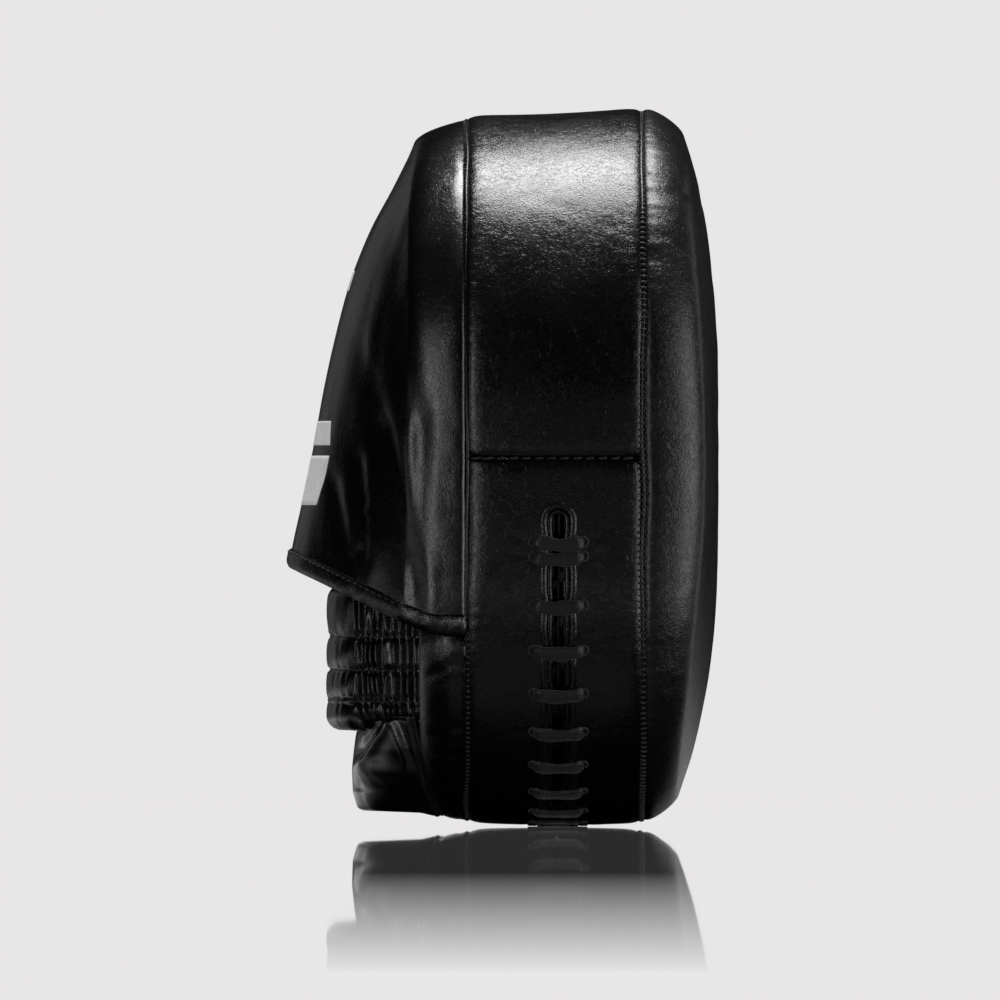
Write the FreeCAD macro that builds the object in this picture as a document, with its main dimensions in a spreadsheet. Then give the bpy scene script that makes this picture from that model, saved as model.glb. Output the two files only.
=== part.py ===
"""Focus mitt: a lace-up striking pad with a hooded hand pocket and an elastic wrist strap.

Millimetres.  +X is the strike face, +Z is up, and the mitt stands on its bottom edge at z = 0.
The pad is a stack of layers that share one outline in the YZ plane: two bottom corner arcs,
straight sides and a half-round top.  Each layer is that outline, set in by some amount and
padded along X.  The hood is lofted through half-ellipses, and the cuff pieces are arched bands.
"""
import FreeCAD, Part
import math
import os

import Sketcher

SIZES = [
    ("pad_width", 200, "overall width of the pad, along Y"),
    ("pad_height", 240, "overall height of the pad, along Z"),
    ("corner_radius", 84, "radius of the two bottom corners"),
    ("leather", 2.0, "thickness of the outer leather"),
    ("seam_gap", 0.4, "half of the gap that a seam's welt fills"),
    ("fit_gap", 0.3, "clearance between a cover and its filling"),
    ("front_seam", 46.0, "X of the seam between gusset and strike cover"),
    ("back_seam", -12.4, "X of the seam between gusset and back cover"),
    ("crown", 71.9, "X of the middle of the strike face"),
    ("dome_radius", 475, "radius of the crowned strike face"),
    ("dome_level", 122, "Z of the middle of the strike face"),
    ("face_round", 13, "rounding of the strike cover's edge"),
    ("strike_foam_start", 35, "X where the strike foam begins"),
    ("impact_foam_start", 1, "X where the impact foam begins"),
    ("latex_start", -11, "X where the latex layer begins"),
    ("board_start", -14, "X where the stiffener board begins"),
    ("back_plane", -28.2, "X of the back cover's flat outside"),
    ("back_inset", 4.8, "how far the back cover is set in from the outline"),
    ("back_drop", 6, "how much lower the back cover's top is than the outline's"),
    ("back_round", 12, "rounding of the back cover's edge"),
    ("welt_depth", 6.5, "radial depth of the back seam's welt"),
    ("joint_level", 122, "Z of the joint between the two gusset bands"),
    ("slot_centre", 18, "X of the middle of the lacing slot"),
    ("slot_half", 5.5, "half width of the slot cut in the gusset"),
    ("slot_top", 101.5, "Z where the slot's round end begins"),
    ("binding_width", 2, "width of the slot's binding"),
    ("binding_depth", 2.2, "radial depth of the slot's binding"),
    ("binding_gap", 0.1, "clearance between the gusset and the binding"),
    ("tongue_inset", 4.2, "how far the tongue lies below the outline"),
    ("tongue_thick", 1.2, "thickness of the tongue"),
    ("tongue_width", 18, "width of the tongue, along X"),
    ("tongue_top", 112, "Z where the tongue ends"),
    ("relief_depth", 5.6, "depth of the foam's groove under the lacing"),
    ("relief_width", 28, "width of the foam's groove"),
    ("relief_top", 114, "Z where the foam's groove ends"),
    ("lace_half", 8.4, "half the distance between two facing eyelets"),
    ("lace_width", 4.6, "width of the flat lace"),
    ("lace_thick", 1.2, "thickness of the flat lace"),
    ("lace_start", 92, "Z of the top crossing"),
    ("lace_double", 2.4, "half the distance between the doubled top crossings"),
    ("lace_first", 18.4, "distance along the rim from the top crossing to the next"),
    ("lace_steps", 8, "further crossings on each side, above the bottom one"),
    ("lace_sink", 0.05, "how far the lace's outside lies below the outline"),
    ("lace_run", 2.4, "depth of the lace's hidden runs below the outline"),
    ("eyelet_radius", 1.7, "radius of a lacing eyelet"),
    ("hood_edge", -13.1, "X of the hood's sewn edge"),
    ("hood_level", 86, "Z where the hood stands out furthest"),
    ("hood_depth", 59, "how far the hood stands out from its sewn edge"),
    ("hood_power", 0.48, "how fast the hood closes towards the top"),
    ("hood_leather", 1.6, "thickness of the hood's leather"),
    ("lining", 0.8, "thickness of the hood's lining"),
    ("hem_side_level", 64, "Z of the hem where it meets the side seams"),
    ("hem_slope", 0.41, "rise of the hem per unit away from the pad"),
    ("hem_band", 6.7, "height of the hem band"),
    ("thread", 0.6, "diameter of the sewing thread"),
    ("strap_out", -60.3, "X of the wrist strap's outside"),
    ("strap_radius", 84, "outside radius of the wrist strap, seen from above"),
    ("strap_thick", 9, "thickness of the wrist strap"),
    ("strap_angle", 27, "half of the angle that the wrist strap spans"),
    ("strap_bottom", 33.5, "Z of the wrist strap's lower edge"),
    ("strap_tall", 46, "height of the wrist strap"),
    ("strap_round", 3.5, "rounding of the wrist strap's long edges"),
    ("channel_level", 51.4, "Z of the strap's middle quilting line"),
    ("channel_pitch", 10.5, "distance between the strap's quilting lines"),
    ("channel_depth", 1.0, "depth of a quilting line"),
    ("soft_leather", 1.4, "thickness of the cuff's leather"),
    ("foam_gap", 0.05, "clearance between the cuff's leather and its foam"),
    ("overrun_angle", 3, "how far a cutting band runs past a band's ends"),
    ("gore_x", -48.7, "X where a gore leaves the wrist strap"),
    ("gore_y", 37.8, "Y where a gore leaves the wrist strap"),
    ("gore_long", 27.2, "length of a gore"),
    ("gore_thick", 1.6, "thickness of a gore"),
    ("gore_bottom", 36, "Z of a gore's lower edge"),
    ("gore_tall", 41, "height of a gore"),
    ("elastic_tall", 6, "width of one elastic strip"),
    ("elastic_thick", 1.0, "thickness of one elastic strip"),
    ("elastic_pitch", 13, "distance between elastic strips"),
    ("elastic_gap", 0.2, "clearance between a gore and its elastics"),
    ("elastic_margin", 3, "how much shorter an elastic is than its gore, at each end"),
    ("skirt_out", -50.7, "X of the cuff skirt's outside"),
    ("skirt_radius", 64.6, "outside radius of the cuff skirt, seen from above"),
    ("skirt_thick", 4.6, "thickness of the cuff skirt"),
    ("skirt_angle", 45.3, "half of the angle that the cuff skirt spans"),
    ("skirt_bottom", 4, "Z of the cuff skirt's lower edge"),
    ("skirt_tall", 28.5, "height of the cuff skirt"),
    ("skirt_round", 1.8, "rounding of the cuff skirt's long edges"),
    ("piping_radius", 1.4, "radius of the piping at the cuff skirt's ends"),
    ("piping_x", -30.0, "X of the piping"),
    ("piping_y", 46.9, "Y of the piping"),
    ("grip_radius", 22, "radius of the palm grip"),
    ("grip_thick", 10, "thickness of the palm grip"),
    ("grip_level", 112, "Z of the palm grip"),
    ("grip_round", 7, "rounding of the palm grip"),
    ("inner_x", -28.3, "X of the inside pieces that lie on the back cover"),
    ("sleeve_depth", 13, "depth of the finger sleeve, along X"),
    ("sleeve_half", 38, "half width of the finger sleeve"),
    ("sleeve_bottom", 142, "Z of the finger sleeve's mouth"),
    ("sleeve_tall", 42, "height of the finger sleeve"),
    ("loop_depth", 13.7, "depth of the thumb loop, along X"),
    ("loop_width", 26, "width of the thumb loop"),
    ("loop_y", -68, "Y of the thumb loop's far side"),
    ("loop_bottom", 100, "Z of the thumb loop's lower edge"),
    ("loop_tall", 46, "height of the thumb loop"),
    ("wall", 1.6, "wall of the finger sleeve and the thumb loop"),
]

# The hood's sections, as fractions of the way from its widest level to the top.
HOOD_STATIONS = (-0.18, 0.0, 0.17, 0.34, 0.5, 0.64, 0.765, 0.86, 0.93, 0.97, 0.99)
FAR = 300  # longer than the mitt: the reach of a cut that goes right through

vector = FreeCAD.Vector
doc = FreeCAD.newDocument("FocusMitt")
sheet = doc.addObject("Spreadsheet::Sheet", "Sizes")
for row, (alias, number, note) in enumerate(SIZES, start=1):
    sheet.set(f"A{row}", note)
    sheet.set(f"B{row}", str(number))
    sheet.setAlias(f"B{row}", alias)
doc.recompute()
pieces = []


def value(text):
    """What an expression of the sheet's sizes comes to now."""
    return float(sheet.evalExpression(text))


def keep(shape_object, label):
    """Name a finished sub-part, which also names its file."""
    shape_object.Label = label
    pieces.append(shape_object)
    return shape_object


# ---------------------------------------------------------------- sketches

def sketch_in(body, name, plane, offset="0"):
    """A sketch on one of the body's own origin planes, moved along that plane's normal."""
    sketch = body.newObject("Sketcher::SketchObject", name)
    support = next(item for item in body.Origin.OriginFeatures if item.Role == plane)
    sketch.AttachmentSupport = (support, [""])
    sketch.MapMode = "FlatFace"
    sketch.setExpression("AttachmentOffset.Base.z", offset)
    return sketch


def dimension(sketch, kind, *where, size):
    """A sketch dimension that follows an expression of the sheet's sizes."""
    index = sketch.addConstraint(Sketcher.Constraint(kind, *where, value(size)))
    sketch.setExpression(f"Constraints[{index}]", size)


def join_ends(sketch, ids):
    """Tie the end of each line or arc to the start of the next one, all the way round."""
    for here, after in zip(ids, ids[1:] + ids[:1]):
        sketch.addConstraint(Sketcher.Constraint("Coincident", here, 2, after, 1))


def arc(x, y, radius, start, end):
    """An arc from start to end degrees, counter-clockwise."""
    circle = Part.Circle(vector(x, y, 0), vector(0, 0, 1), radius)
    return Part.ArcOfCircle(circle, math.radians(start), math.radians(end))


def add_outline(sketch, inset, drop="0"):
    """The pad's outline, set in all round, with its top lowered by drop."""
    side = f"Sizes.pad_width / 2 - ({inset})"
    corner = f"Sizes.corner_radius - ({inset})"
    flat = "Sizes.pad_width / 2 - Sizes.corner_radius"
    level = "Sizes.corner_radius"
    top = f"Sizes.pad_height - Sizes.pad_width / 2 - ({drop})"
    s, c, f, low, high = (value(text) for text in (side, corner, flat, level, top))
    first = sketch.GeometryCount
    sketch.addGeometry([
        Part.LineSegment(vector(-f, low - c, 0), vector(f, low - c, 0)),
        arc(f, low, c, 270, 360),
        Part.LineSegment(vector(s, low, 0), vector(s, high, 0)),
        arc(0, high, s, 0, 180),
        Part.LineSegment(vector(-s, high, 0), vector(-s, low, 0)),
        arc(-f, low, c, 180, 270),
    ])
    ids = list(range(first, first + 6))
    right, crest, left = ids[1], ids[3], ids[5]
    join_ends(sketch, ids)
    for kind, geometry, end in (
        ("Vertical", right, 1), ("Horizontal", right, 2), ("Horizontal", crest, 1),
        ("Horizontal", crest, 2), ("Horizontal", left, 1), ("Vertical", left, 2),
    ):
        sketch.addConstraint(Sketcher.Constraint(kind, geometry, end, geometry, 3))
    sketch.addConstraint(Sketcher.Constraint("PointOnObject", crest, 3, -2))
    dimension(sketch, "DistanceY", -1, 1, crest, 3, size=top)
    dimension(sketch, "DistanceX", -1, 1, right, 3, size=flat)
    dimension(sketch, "DistanceY", -1, 1, right, 3, size=level)
    dimension(sketch, "DistanceX", left, 3, -1, 1, size=flat)
    dimension(sketch, "DistanceY", -1, 1, left, 3, size=level)
    dimension(sketch, "Radius", right, size=corner)
    dimension(sketch, "Radius", left, size=corner)
    dimension(sketch, "Radius", crest, size=side)


def add_polygon(sketch, corners):
    """A closed polygon through corners that are given as pairs of expressions."""
    points = [vector(value(x), value(y), 0) for x, y in corners]
    first = sketch.GeometryCount
    sketch.addGeometry([Part.LineSegment(a, b) for a, b in zip(points, points[1:] + points[:1])])
    ids = list(range(first, first + len(points)))
    join_ends(sketch, ids)
    for geometry, (x, y) in zip(ids, corners):
        dimension(sketch, "DistanceX", -1, 1, geometry, 1, size=x)
        dimension(sketch, "DistanceY", -1, 1, geometry, 1, size=y)


def add_arch(sketch, half):
    """The lacing slot's side view: straight sides from below the pad up to a round end."""
    centre, top, bottom = "Sizes.slot_centre", "Sizes.slot_top", "-20"
    x, y, low, r = value(centre), value(top), value(bottom), value(half)
    sketch.addGeometry([
        Part.LineSegment(vector(x - r, low, 0), vector(x + r, low, 0)),
        Part.LineSegment(vector(x + r, low, 0), vector(x + r, y, 0)),
        arc(x, y, r, 0, 180),
        Part.LineSegment(vector(x - r, y, 0), vector(x - r, low, 0)),
    ])
    join_ends(sketch, [0, 1, 2, 3])
    sketch.addConstraint(Sketcher.Constraint("Horizontal", 0))
    for end in (1, 2):
        sketch.addConstraint(Sketcher.Constraint("Horizontal", 2, end, 2, 3))
    sketch.addConstraint(Sketcher.Constraint("Vertical", 1))
    sketch.addConstraint(Sketcher.Constraint("Vertical", 3))
    dimension(sketch, "DistanceX", -1, 1, 2, 3, size=centre)
    dimension(sketch, "DistanceY", -1, 1, 2, 3, size=top)
    dimension(sketch, "DistanceY", -1, 1, 0, 1, size=bottom)
    dimension(sketch, "Radius", 2, size=half)


def add_sector(sketch, centre, inner, outer, angle):
    """A band between two arcs about a point on the X axis, spread either side of -X."""
    x, small, large, half = (value(text) for text in (centre, inner, outer, angle))
    rim, bore = arc(x, 0, large, 180 - half, 180 + half), arc(x, 0, small, 180 - half, 180 + half)
    sketch.addGeometry([
        rim,
        bore,
        Part.LineSegment(rim.EndPoint, bore.EndPoint),
        Part.LineSegment(bore.StartPoint, rim.StartPoint),
    ])
    for a, a_end, b, b_end in ((0, 2, 2, 1), (2, 2, 1, 2), (1, 1, 3, 1), (3, 2, 0, 1)):
        sketch.addConstraint(Sketcher.Constraint("Coincident", a, a_end, b, b_end))
    sketch.addConstraint(Sketcher.Constraint("Coincident", 0, 3, 1, 3))
    sketch.addConstraint(Sketcher.Constraint("PointOnObject", 0, 3, -1))
    dimension(sketch, "DistanceX", -1, 1, 0, 3, size=centre)
    for geometry, radius in ((0, outer), (1, inner)):
        reach = f"({radius}) * sin(({angle}) * 1 deg)"
        dimension(sketch, "Radius", geometry, size=radius)
        dimension(sketch, "DistanceY", -1, 1, geometry, 1, size=reach)
        dimension(sketch, "DistanceY", geometry, 2, -1, 1, size=reach)


# ---------------------------------------------------------------- features

def pad(body, sketch, length, midplane=False):
    feature = body.newObject("PartDesign::Pad", body.Name + "Pad")
    feature.Profile = sketch
    feature.Midplane = midplane
    feature.setExpression("Length", length)
    return feature


def pocket_through(body, sketch):
    """Cut the sketch right through the body, both ways from its plane."""
    feature = body.newObject("PartDesign::Pocket", body.Name + "Pocket")
    feature.Profile = sketch
    feature.Midplane = True
    feature.Length = 2 * FAR
    return feature


def fillet_edges(body, feature, radius, chosen):
    """Round the edges of the feature that chosen(edge) picks."""
    doc.recompute()
    edges = [f"Edge{n}" for n, edge in enumerate(feature.Shape.Edges, 1) if chosen(edge)]
    rounding = body.newObject("PartDesign::Fillet", body.Name + "Fillet")
    rounding.Base = (feature, edges)
    rounding.setExpression("Radius", radius)
    return rounding


def at_x(x):
    """Picks edges that lie in the plane at x."""
    def chosen(edge):
        box = edge.BoundBox
        return abs(box.XMin - x) < 0.01 and abs(box.XMax - x) < 0.01
    return chosen


def layer(name, inset, start, end, wall=None, drop="0"):
    """One layer of the pad, from start to end along X: solid, or a ring with a wall."""
    body = doc.addObject("PartDesign::Body", name)
    sketch = sketch_in(body, name + "Outline", "YZ_Plane", start)
    add_outline(sketch, inset, drop)
    if wall:
        add_outline(sketch, f"({inset}) + ({wall})", drop)
    pad(body, sketch, f"({end}) - ({start})")
    return body


def prism(name, plane, corners):
    """A polygon padded a long way to both sides of its plane, to cut or keep with."""
    body = doc.addObject("PartDesign::Body", name)
    sketch = sketch_in(body, name + "Profile", plane)
    add_polygon(sketch, corners)
    pad(body, sketch, str(2 * FAR), midplane=True)
    return body


def block(name, low, length, width, tall, turn=None):
    """A box with its low corner and sizes given as expressions, turned about Z by turn."""
    box = doc.addObject("Part::Box", name)
    for side, size in (("Length", length), ("Width", width), ("Height", tall)):
        box.setExpression(side, size)
    for axis, place in zip("xyz", low):
        box.setExpression(f"Placement.Base.{axis}", place)
    if turn:
        box.Placement.Rotation = FreeCAD.Rotation(vector(0, 0, 1), turn)
    return box


def cut(name, base, tool):
    feature = doc.addObject("Part::Cut", name)
    feature.Base, feature.Tool = base, tool
    return feature


def common(name, base, tool):
    feature = doc.addObject("Part::Common", name)
    feature.Base, feature.Tool = base, tool
    return feature


def group(name, members):
    feature = doc.addObject("Part::Compound", name)
    feature.Links = members
    return feature


# ---------------------------------------------------------------- the strike side

def domed(name, inset, start):
    """A layer from start out to the crowned strike face, with its edge rounded."""
    slab = layer(name + "Slab", inset, start, "Sizes.crown")
    ball = doc.addObject("Part::Sphere", name + "Ball")
    ball.setExpression("Radius", f"Sizes.dome_radius - ({inset})")
    ball.setExpression("Placement.Base.x", "Sizes.crown - Sizes.dome_radius")
    ball.setExpression("Placement.Base.z", "Sizes.dome_level")
    ball.Placement.Rotation = FreeCAD.Rotation(vector(0, 0, 1), 180)  # its seam faces away
    crowned = common(name + "Crowned", slab, ball)
    doc.recompute()
    radius = value(f"Sizes.face_round - ({inset})")
    plane = value(start)
    rim = [
        n for n, edge in enumerate(crowned.Shape.Edges, 1)
        if edge.BoundBox.XMin > plane + 1 and edge.BoundBox.XLength < 8
        and len(crowned.Shape.ancestorsOfType(edge, Part.Face)) == 2
    ]
    rounded = doc.addObject("Part::Fillet", name + "Rounded")
    rounded.Base = crowned
    rounded.Edges = [(n, radius, radius) for n in rim]
    return rounded


def strike_side():
    gap = "Sizes.leather + Sizes.fit_gap"
    outside = domed("CoverOut", "0", "Sizes.front_seam + Sizes.seam_gap")
    inside = domed("CoverIn", "Sizes.leather", "Sizes.front_seam - 1")
    keep(cut("StrikeCover", outside, inside), "strike_cover")
    keep(domed("StrikeFoam", gap, "Sizes.strike_foam_start"), "strike_foam")
    keep(layer("FrontWelt", "0.1", "Sizes.front_seam - 0.35", "Sizes.front_seam + 0.35",
               wall="Sizes.leather"), "front_seam_welt")


# ---------------------------------------------------------------- the layers inside and the back

def core_and_back():
    gap = "Sizes.leather + Sizes.fit_gap"
    slab = layer("ImpactFoam", gap, "Sizes.impact_foam_start", "Sizes.strike_foam_start")
    relief = layer("Relief", "1", "Sizes.slot_centre - Sizes.relief_width / 2",
                   "Sizes.slot_centre + Sizes.relief_width / 2", wall="Sizes.relief_depth - 1")
    above = "Sizes.relief_top"
    pocket_through(relief, band_sketch(relief, above, str(FAR)))
    keep(cut("ImpactFoamCut", slab, relief), "impact_foam")
    keep(layer("Latex", gap, "Sizes.latex_start", "Sizes.impact_foam_start"), "latex_layer")
    keep(layer("Board", "Sizes.welt_depth + 0.5", "Sizes.board_start", "Sizes.latex_start",
               drop="Sizes.back_drop"), "stiffener_board")

    def pan(name, inset, end):
        """The back's dished shape: a lowered layer with its back edge rounded."""
        start = f"Sizes.back_plane + ({inset})"
        body = layer(name, f"Sizes.back_inset + ({inset})", start, end, drop="Sizes.back_drop")
        fillet_edges(body, body.Tip, f"Sizes.back_round - ({inset})", at_x(value(start)))
        return body

    outside = pan("BackOut", "0", "Sizes.back_seam - Sizes.seam_gap - 0.05")
    inside = pan("BackIn", "Sizes.leather", "Sizes.back_seam + 1")
    keep(cut("BackCover", outside, inside), "back_cover")
    keep(pan("BackFoam", gap, "Sizes.board_start"), "back_foam")
    keep(layer("BackWelt", "0.1", "Sizes.back_seam - 0.35", "Sizes.back_seam + 0.35",
               wall="Sizes.welt_depth"), "back_seam_welt")


def band_sketch(body, low, high):
    """A wide rectangle in the YZ plane between two levels."""
    sketch = sketch_in(body, body.Name + "Band", "YZ_Plane")
    side = str(FAR)
    add_polygon(sketch, [("-" + side, low), (side, low), (side, high), ("-" + side, high)])
    return sketch


# ---------------------------------------------------------------- gusset and lacing

def rim_frame(along):
    """Point, outward direction and downhill direction on the outline at a distance from
    the top crossing on the -Y side, going down, under the pad and up the +Y side."""
    half, corner = value("Sizes.pad_width / 2"), value("Sizes.corner_radius")
    flat = half - corner
    straight = value("Sizes.lace_start") - corner
    quarter = corner * math.pi / 2
    middle = straight + quarter + flat
    side = -1 if along <= middle else 1
    near = along if along <= middle else 2 * middle - along
    if near < straight:
        point, outward = (-half, corner + straight - near), (-1, 0)
    elif near < straight + quarter:
        turn = (near - straight) / corner
        outward = (-math.cos(turn), -math.sin(turn))
        point = (-flat + corner * outward[0], corner + corner * outward[1])
    else:
        point, outward = (near - middle, 0), (0, -1)
    mirror = -side
    out = vector(0, mirror * outward[0], outward[1])
    return vector(0, mirror * point[0], point[1]), out, out.cross(vector(1, 0, 0))


def crossings():
    """Distance along the rim of every place where the lace crosses the slot."""
    straight = value("Sizes.lace_start - Sizes.corner_radius")
    quarter = value("Sizes.corner_radius") * math.pi / 2
    middle = straight + quarter + value("Sizes.pad_width / 2 - Sizes.corner_radius")
    first, steps = value("Sizes.lace_first"), int(value("Sizes.lace_steps"))
    pitch = (middle - first) / (steps + 1)
    double = value("Sizes.lace_double")
    down = [-double, double] + [first + pitch * n for n in range(steps + 1)]
    return down + [middle] + [2 * middle - along for along in reversed(down)]


def bar(start, end, outward, width, low, high):
    """A flat bar from start to end, between two depths measured along outward."""
    ahead = end - start
    length = ahead.Length
    ahead.normalize()
    across = outward.cross(ahead).normalize()
    box = Part.makeBox(length, width, high - low, vector(0, -width / 2, low))
    turn = FreeCAD.Matrix(
        ahead.x, across.x, outward.x, start.x,
        ahead.y, across.y, outward.y, start.y,
        ahead.z, across.z, outward.z, start.z,
        0, 0, 0, 1,
    )
    return box.transformed(turn)


def lace_shapes():
    """The lace as one solid, and the room it needs in the leather around it."""
    centre, half = value("Sizes.slot_centre"), value("Sizes.lace_half")
    width, thick = value("Sizes.lace_width"), value("Sizes.lace_thick")
    top, run = -value("Sizes.lace_sink"), -value("Sizes.lace_run")
    left, right = vector(centre - half, 0, 0), vector(centre + half, 0, 0)
    leg = 0.55 * width  # the lace folds together where it goes through an eyelet
    spare = 0.2
    lace, room = [], []
    places = [rim_frame(along) for along in crossings()]
    for n, (point, outward, downhill) in enumerate(places):
        near, far = point + left, point + right
        over = vector(leg / 2, 0, 0)
        lace.append(bar(near - over, far + over, outward, width, top - thick, top))
        clear = vector(leg / 2 + spare, 0, 0)
        room.append(bar(near - clear, far + clear, outward, width + 2 * spare,
                        top - thick - spare / 2, 1))
        for eyelet in (near, far):
            lace.append(bar(eyelet - over, eyelet + over, outward, thick, run - thick, top - thick / 2))
            room.append(Part.makeCylinder(value("Sizes.eyelet_radius"), 4, eyelet - outward * 3, outward))
        if n + 1 < len(places):
            onward, turned = places[n + 1][0] + left, places[n + 1][1]
            mean = (outward + turned).normalize()
            lace.append(bar(far, onward, mean, width * 0.6, run - thick, run))
    for end, eyelet in ((0, left), (-1, right)):
        point, outward, downhill = places[end]
        knot = point + eyelet
        side = vector(width / 2, 0, 0)
        lace.append(bar(knot - side, knot + side, outward, width, run - thick, run))
    joined = lace[0].multiFuse(lace[1:]).removeSplitter()
    return joined, Part.makeCompound(room)


def gusset_and_lacing():
    start = "Sizes.back_seam + Sizes.seam_gap"
    end = "Sizes.front_seam - Sizes.seam_gap"
    upper = layer("GussetUpper", "0", start, end, wall="Sizes.leather")
    pocket_through(upper, band_sketch(upper, str(-FAR), "Sizes.joint_level + Sizes.fit_gap"))
    keep(upper, "gusset_upper")

    shape, clearance = lace_shapes()
    lace = doc.addObject("Part::Feature", "Lace")
    lace.Shape = shape
    keep(lace, "lace")
    room = doc.addObject("Part::Feature", "LaceRoom")
    room.Shape = clearance

    lower = layer("GussetLower", "0", start, end, wall="Sizes.leather")
    pocket_through(lower, band_sketch(lower, "Sizes.joint_level - Sizes.fit_gap", str(FAR)))
    slot = sketch_in(lower, "SlotProfile", "XZ_Plane")
    add_arch(slot, "Sizes.slot_half")
    pocket_through(lower, slot)
    keep(cut("GussetLowerCut", lower, room), "gusset_lower")

    reach = "2 * Sizes.slot_half"
    ring = layer("BindingRing", "0", f"Sizes.slot_centre - {reach}", f"Sizes.slot_centre + {reach}",
                 wall="Sizes.binding_depth")
    rim = "Sizes.slot_half - Sizes.binding_gap"
    arch = doc.addObject("PartDesign::Body", "BindingArch")
    outer = sketch_in(arch, "ArchOut", "XZ_Plane")
    add_arch(outer, rim)
    pad(arch, outer, str(2 * FAR), midplane=True)
    inner = sketch_in(arch, "ArchIn", "XZ_Plane")
    add_arch(inner, f"{rim} - Sizes.binding_width")
    pocket_through(arch, inner)
    keep(cut("SlotBinding", common("BindingLoop", ring, arch), room), "slot_binding")

    tongue = layer("SlotTongue", "Sizes.tongue_inset", "Sizes.slot_centre - Sizes.tongue_width / 2",
                   "Sizes.slot_centre + Sizes.tongue_width / 2", wall="Sizes.tongue_thick")
    pocket_through(tongue, band_sketch(tongue, "Sizes.tongue_top", str(FAR)))
    keep(tongue, "slot_tongue")

    threads = []
    for side, low in (("Near", "-Sizes.pad_width / 2 + 0.1"),
                      ("Far", "Sizes.pad_width / 2 - Sizes.leather + 0.1")):
        threads.append(block("JointThread" + side,
                             (start, low, "Sizes.joint_level - Sizes.thread / 2 + 0.02"),
                             f"({end}) - ({start})", "Sizes.leather - 0.2", "Sizes.thread - 0.04"))
    keep(group("JointThreads", threads), "gusset_joint_thread")


# ---------------------------------------------------------------- the hood over the hand

def half_width_at(level, inset):
    """Expression of the outline's half width at a level, set in by inset."""
    number = value(level)
    if number > value("Sizes.pad_height - Sizes.pad_width / 2"):
        rise = f"({level}) - (Sizes.pad_height - Sizes.pad_width / 2)"
        return f"sqrt((Sizes.pad_width / 2 - ({inset})) ^ 2 - ({rise}) ^ 2)"
    if number < value("Sizes.corner_radius"):
        fall = f"Sizes.corner_radius - ({level})"
        round_part = f"sqrt((Sizes.corner_radius - ({inset})) ^ 2 - ({fall}) ^ 2)"
        return f"Sizes.pad_width / 2 - Sizes.corner_radius + {round_part}"
    return f"Sizes.pad_width / 2 - ({inset})"


def hood_form(name, inset):
    """The hood as a full solid: ellipses that narrow with the outline and close at the top."""
    sections = []
    for n, station in enumerate(HOOD_STATIONS):
        level = f"Sizes.hood_level + (Sizes.pad_height - ({inset}) - Sizes.hood_level) * ({station})"
        depth = f"(Sizes.hood_depth - ({inset})) * ({1 - station}) ^ Sizes.hood_power"
        section = doc.addObject("Part::Ellipse", f"{name}Section{n}")
        section.Placement.Rotation = FreeCAD.Rotation(vector(0, 0, 1), 90)
        section.setExpression("Placement.Base.x", "Sizes.hood_edge")
        section.setExpression("Placement.Base.z", level)
        section.setExpression("MajorRadius", half_width_at(level, inset))
        section.setExpression("MinorRadius", depth)
        sections.append(section)
    loft = doc.addObject("Part::Loft", name)
    loft.Sections = sections
    loft.Solid = True
    return loft


def side_region(name, low, high):
    """The space outside the sewn edge between two lines that run parallel to the hem."""
    reach = 90
    def line(x, lift):
        return f"Sizes.hem_side_level + ({lift}) + Sizes.hem_slope * (Sizes.hood_edge - ({x}))"
    inner, outer = "Sizes.hood_edge", str(-reach)
    return prism(name, "XZ_Plane", [
        (inner, line(inner, low)), (inner, line(inner, high)),
        (outer, line(outer, high)), (outer, line(outer, low)),
    ])


def hood():
    outside = hood_form("HoodOut", "0")
    middle = hood_form("HoodMid", "Sizes.hood_leather")
    inside = hood_form("HoodIn", "Sizes.hood_leather + Sizes.lining")
    leather = cut("HoodShell", outside, middle)
    lining = cut("LiningShell", middle, inside)
    band = "Sizes.hem_band * sqrt(1 + Sizes.hem_slope ^ 2)"
    stitch = f"{band} + Sizes.thread"
    above = str(FAR)
    keep(common("Hood", leather, side_region("AboveHem", stitch, above)), "hood")
    keep(common("HemThread", leather, side_region("HemStitch", band, stitch)), "hem_thread")
    keep(common("HoodHem", leather, side_region("HemBand", "0", band)), "hood_hem")
    keep(common("HoodLining", lining, side_region("AboveEdge", "0.5", above)), "hood_lining")


# ---------------------------------------------------------------- the cuff

def arched_band(name, out, radius, thick, angle, bottom, tall, inset="0", rounding=None):
    """A band that bulges towards -X, set in by inset on every side but its two ends."""
    body = doc.addObject("PartDesign::Body", name)
    sketch = sketch_in(body, name + "Plan", "XY_Plane", f"({bottom}) + ({inset})")
    outer = f"({radius}) - ({inset})"
    inner = f"({radius}) - ({thick}) + ({inset})"
    add_sector(sketch, f"({out}) + ({radius})", inner, outer, angle)
    feature = pad(body, sketch, f"({tall}) - 2 * ({inset})")
    if rounding:
        def long_edge(edge):
            return isinstance(edge.Curve, Part.Circle)
        fillet_edges(body, feature, f"({rounding}) - ({inset})", long_edge)
    return body


def padded_band(name, filling, out, radius, thick, angle, bottom, tall, rounding):
    """An arched leather sleeve, open at its two sewn ends, and the foam inside it."""
    skin = arched_band(name + "Skin", out, radius, thick, angle, bottom, tall, rounding=rounding)
    beyond = f"({angle}) + Sizes.overrun_angle"
    hollow = arched_band(name + "Hollow", out, radius, thick, beyond, bottom, tall,
                         inset="Sizes.soft_leather", rounding=rounding)
    foam = arched_band(name + "Foam", out, radius, thick, angle, bottom, tall,
                       inset="Sizes.soft_leather + Sizes.foam_gap", rounding=rounding)
    keep(foam, filling)
    return cut(name + "Cover", skin, hollow)


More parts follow.
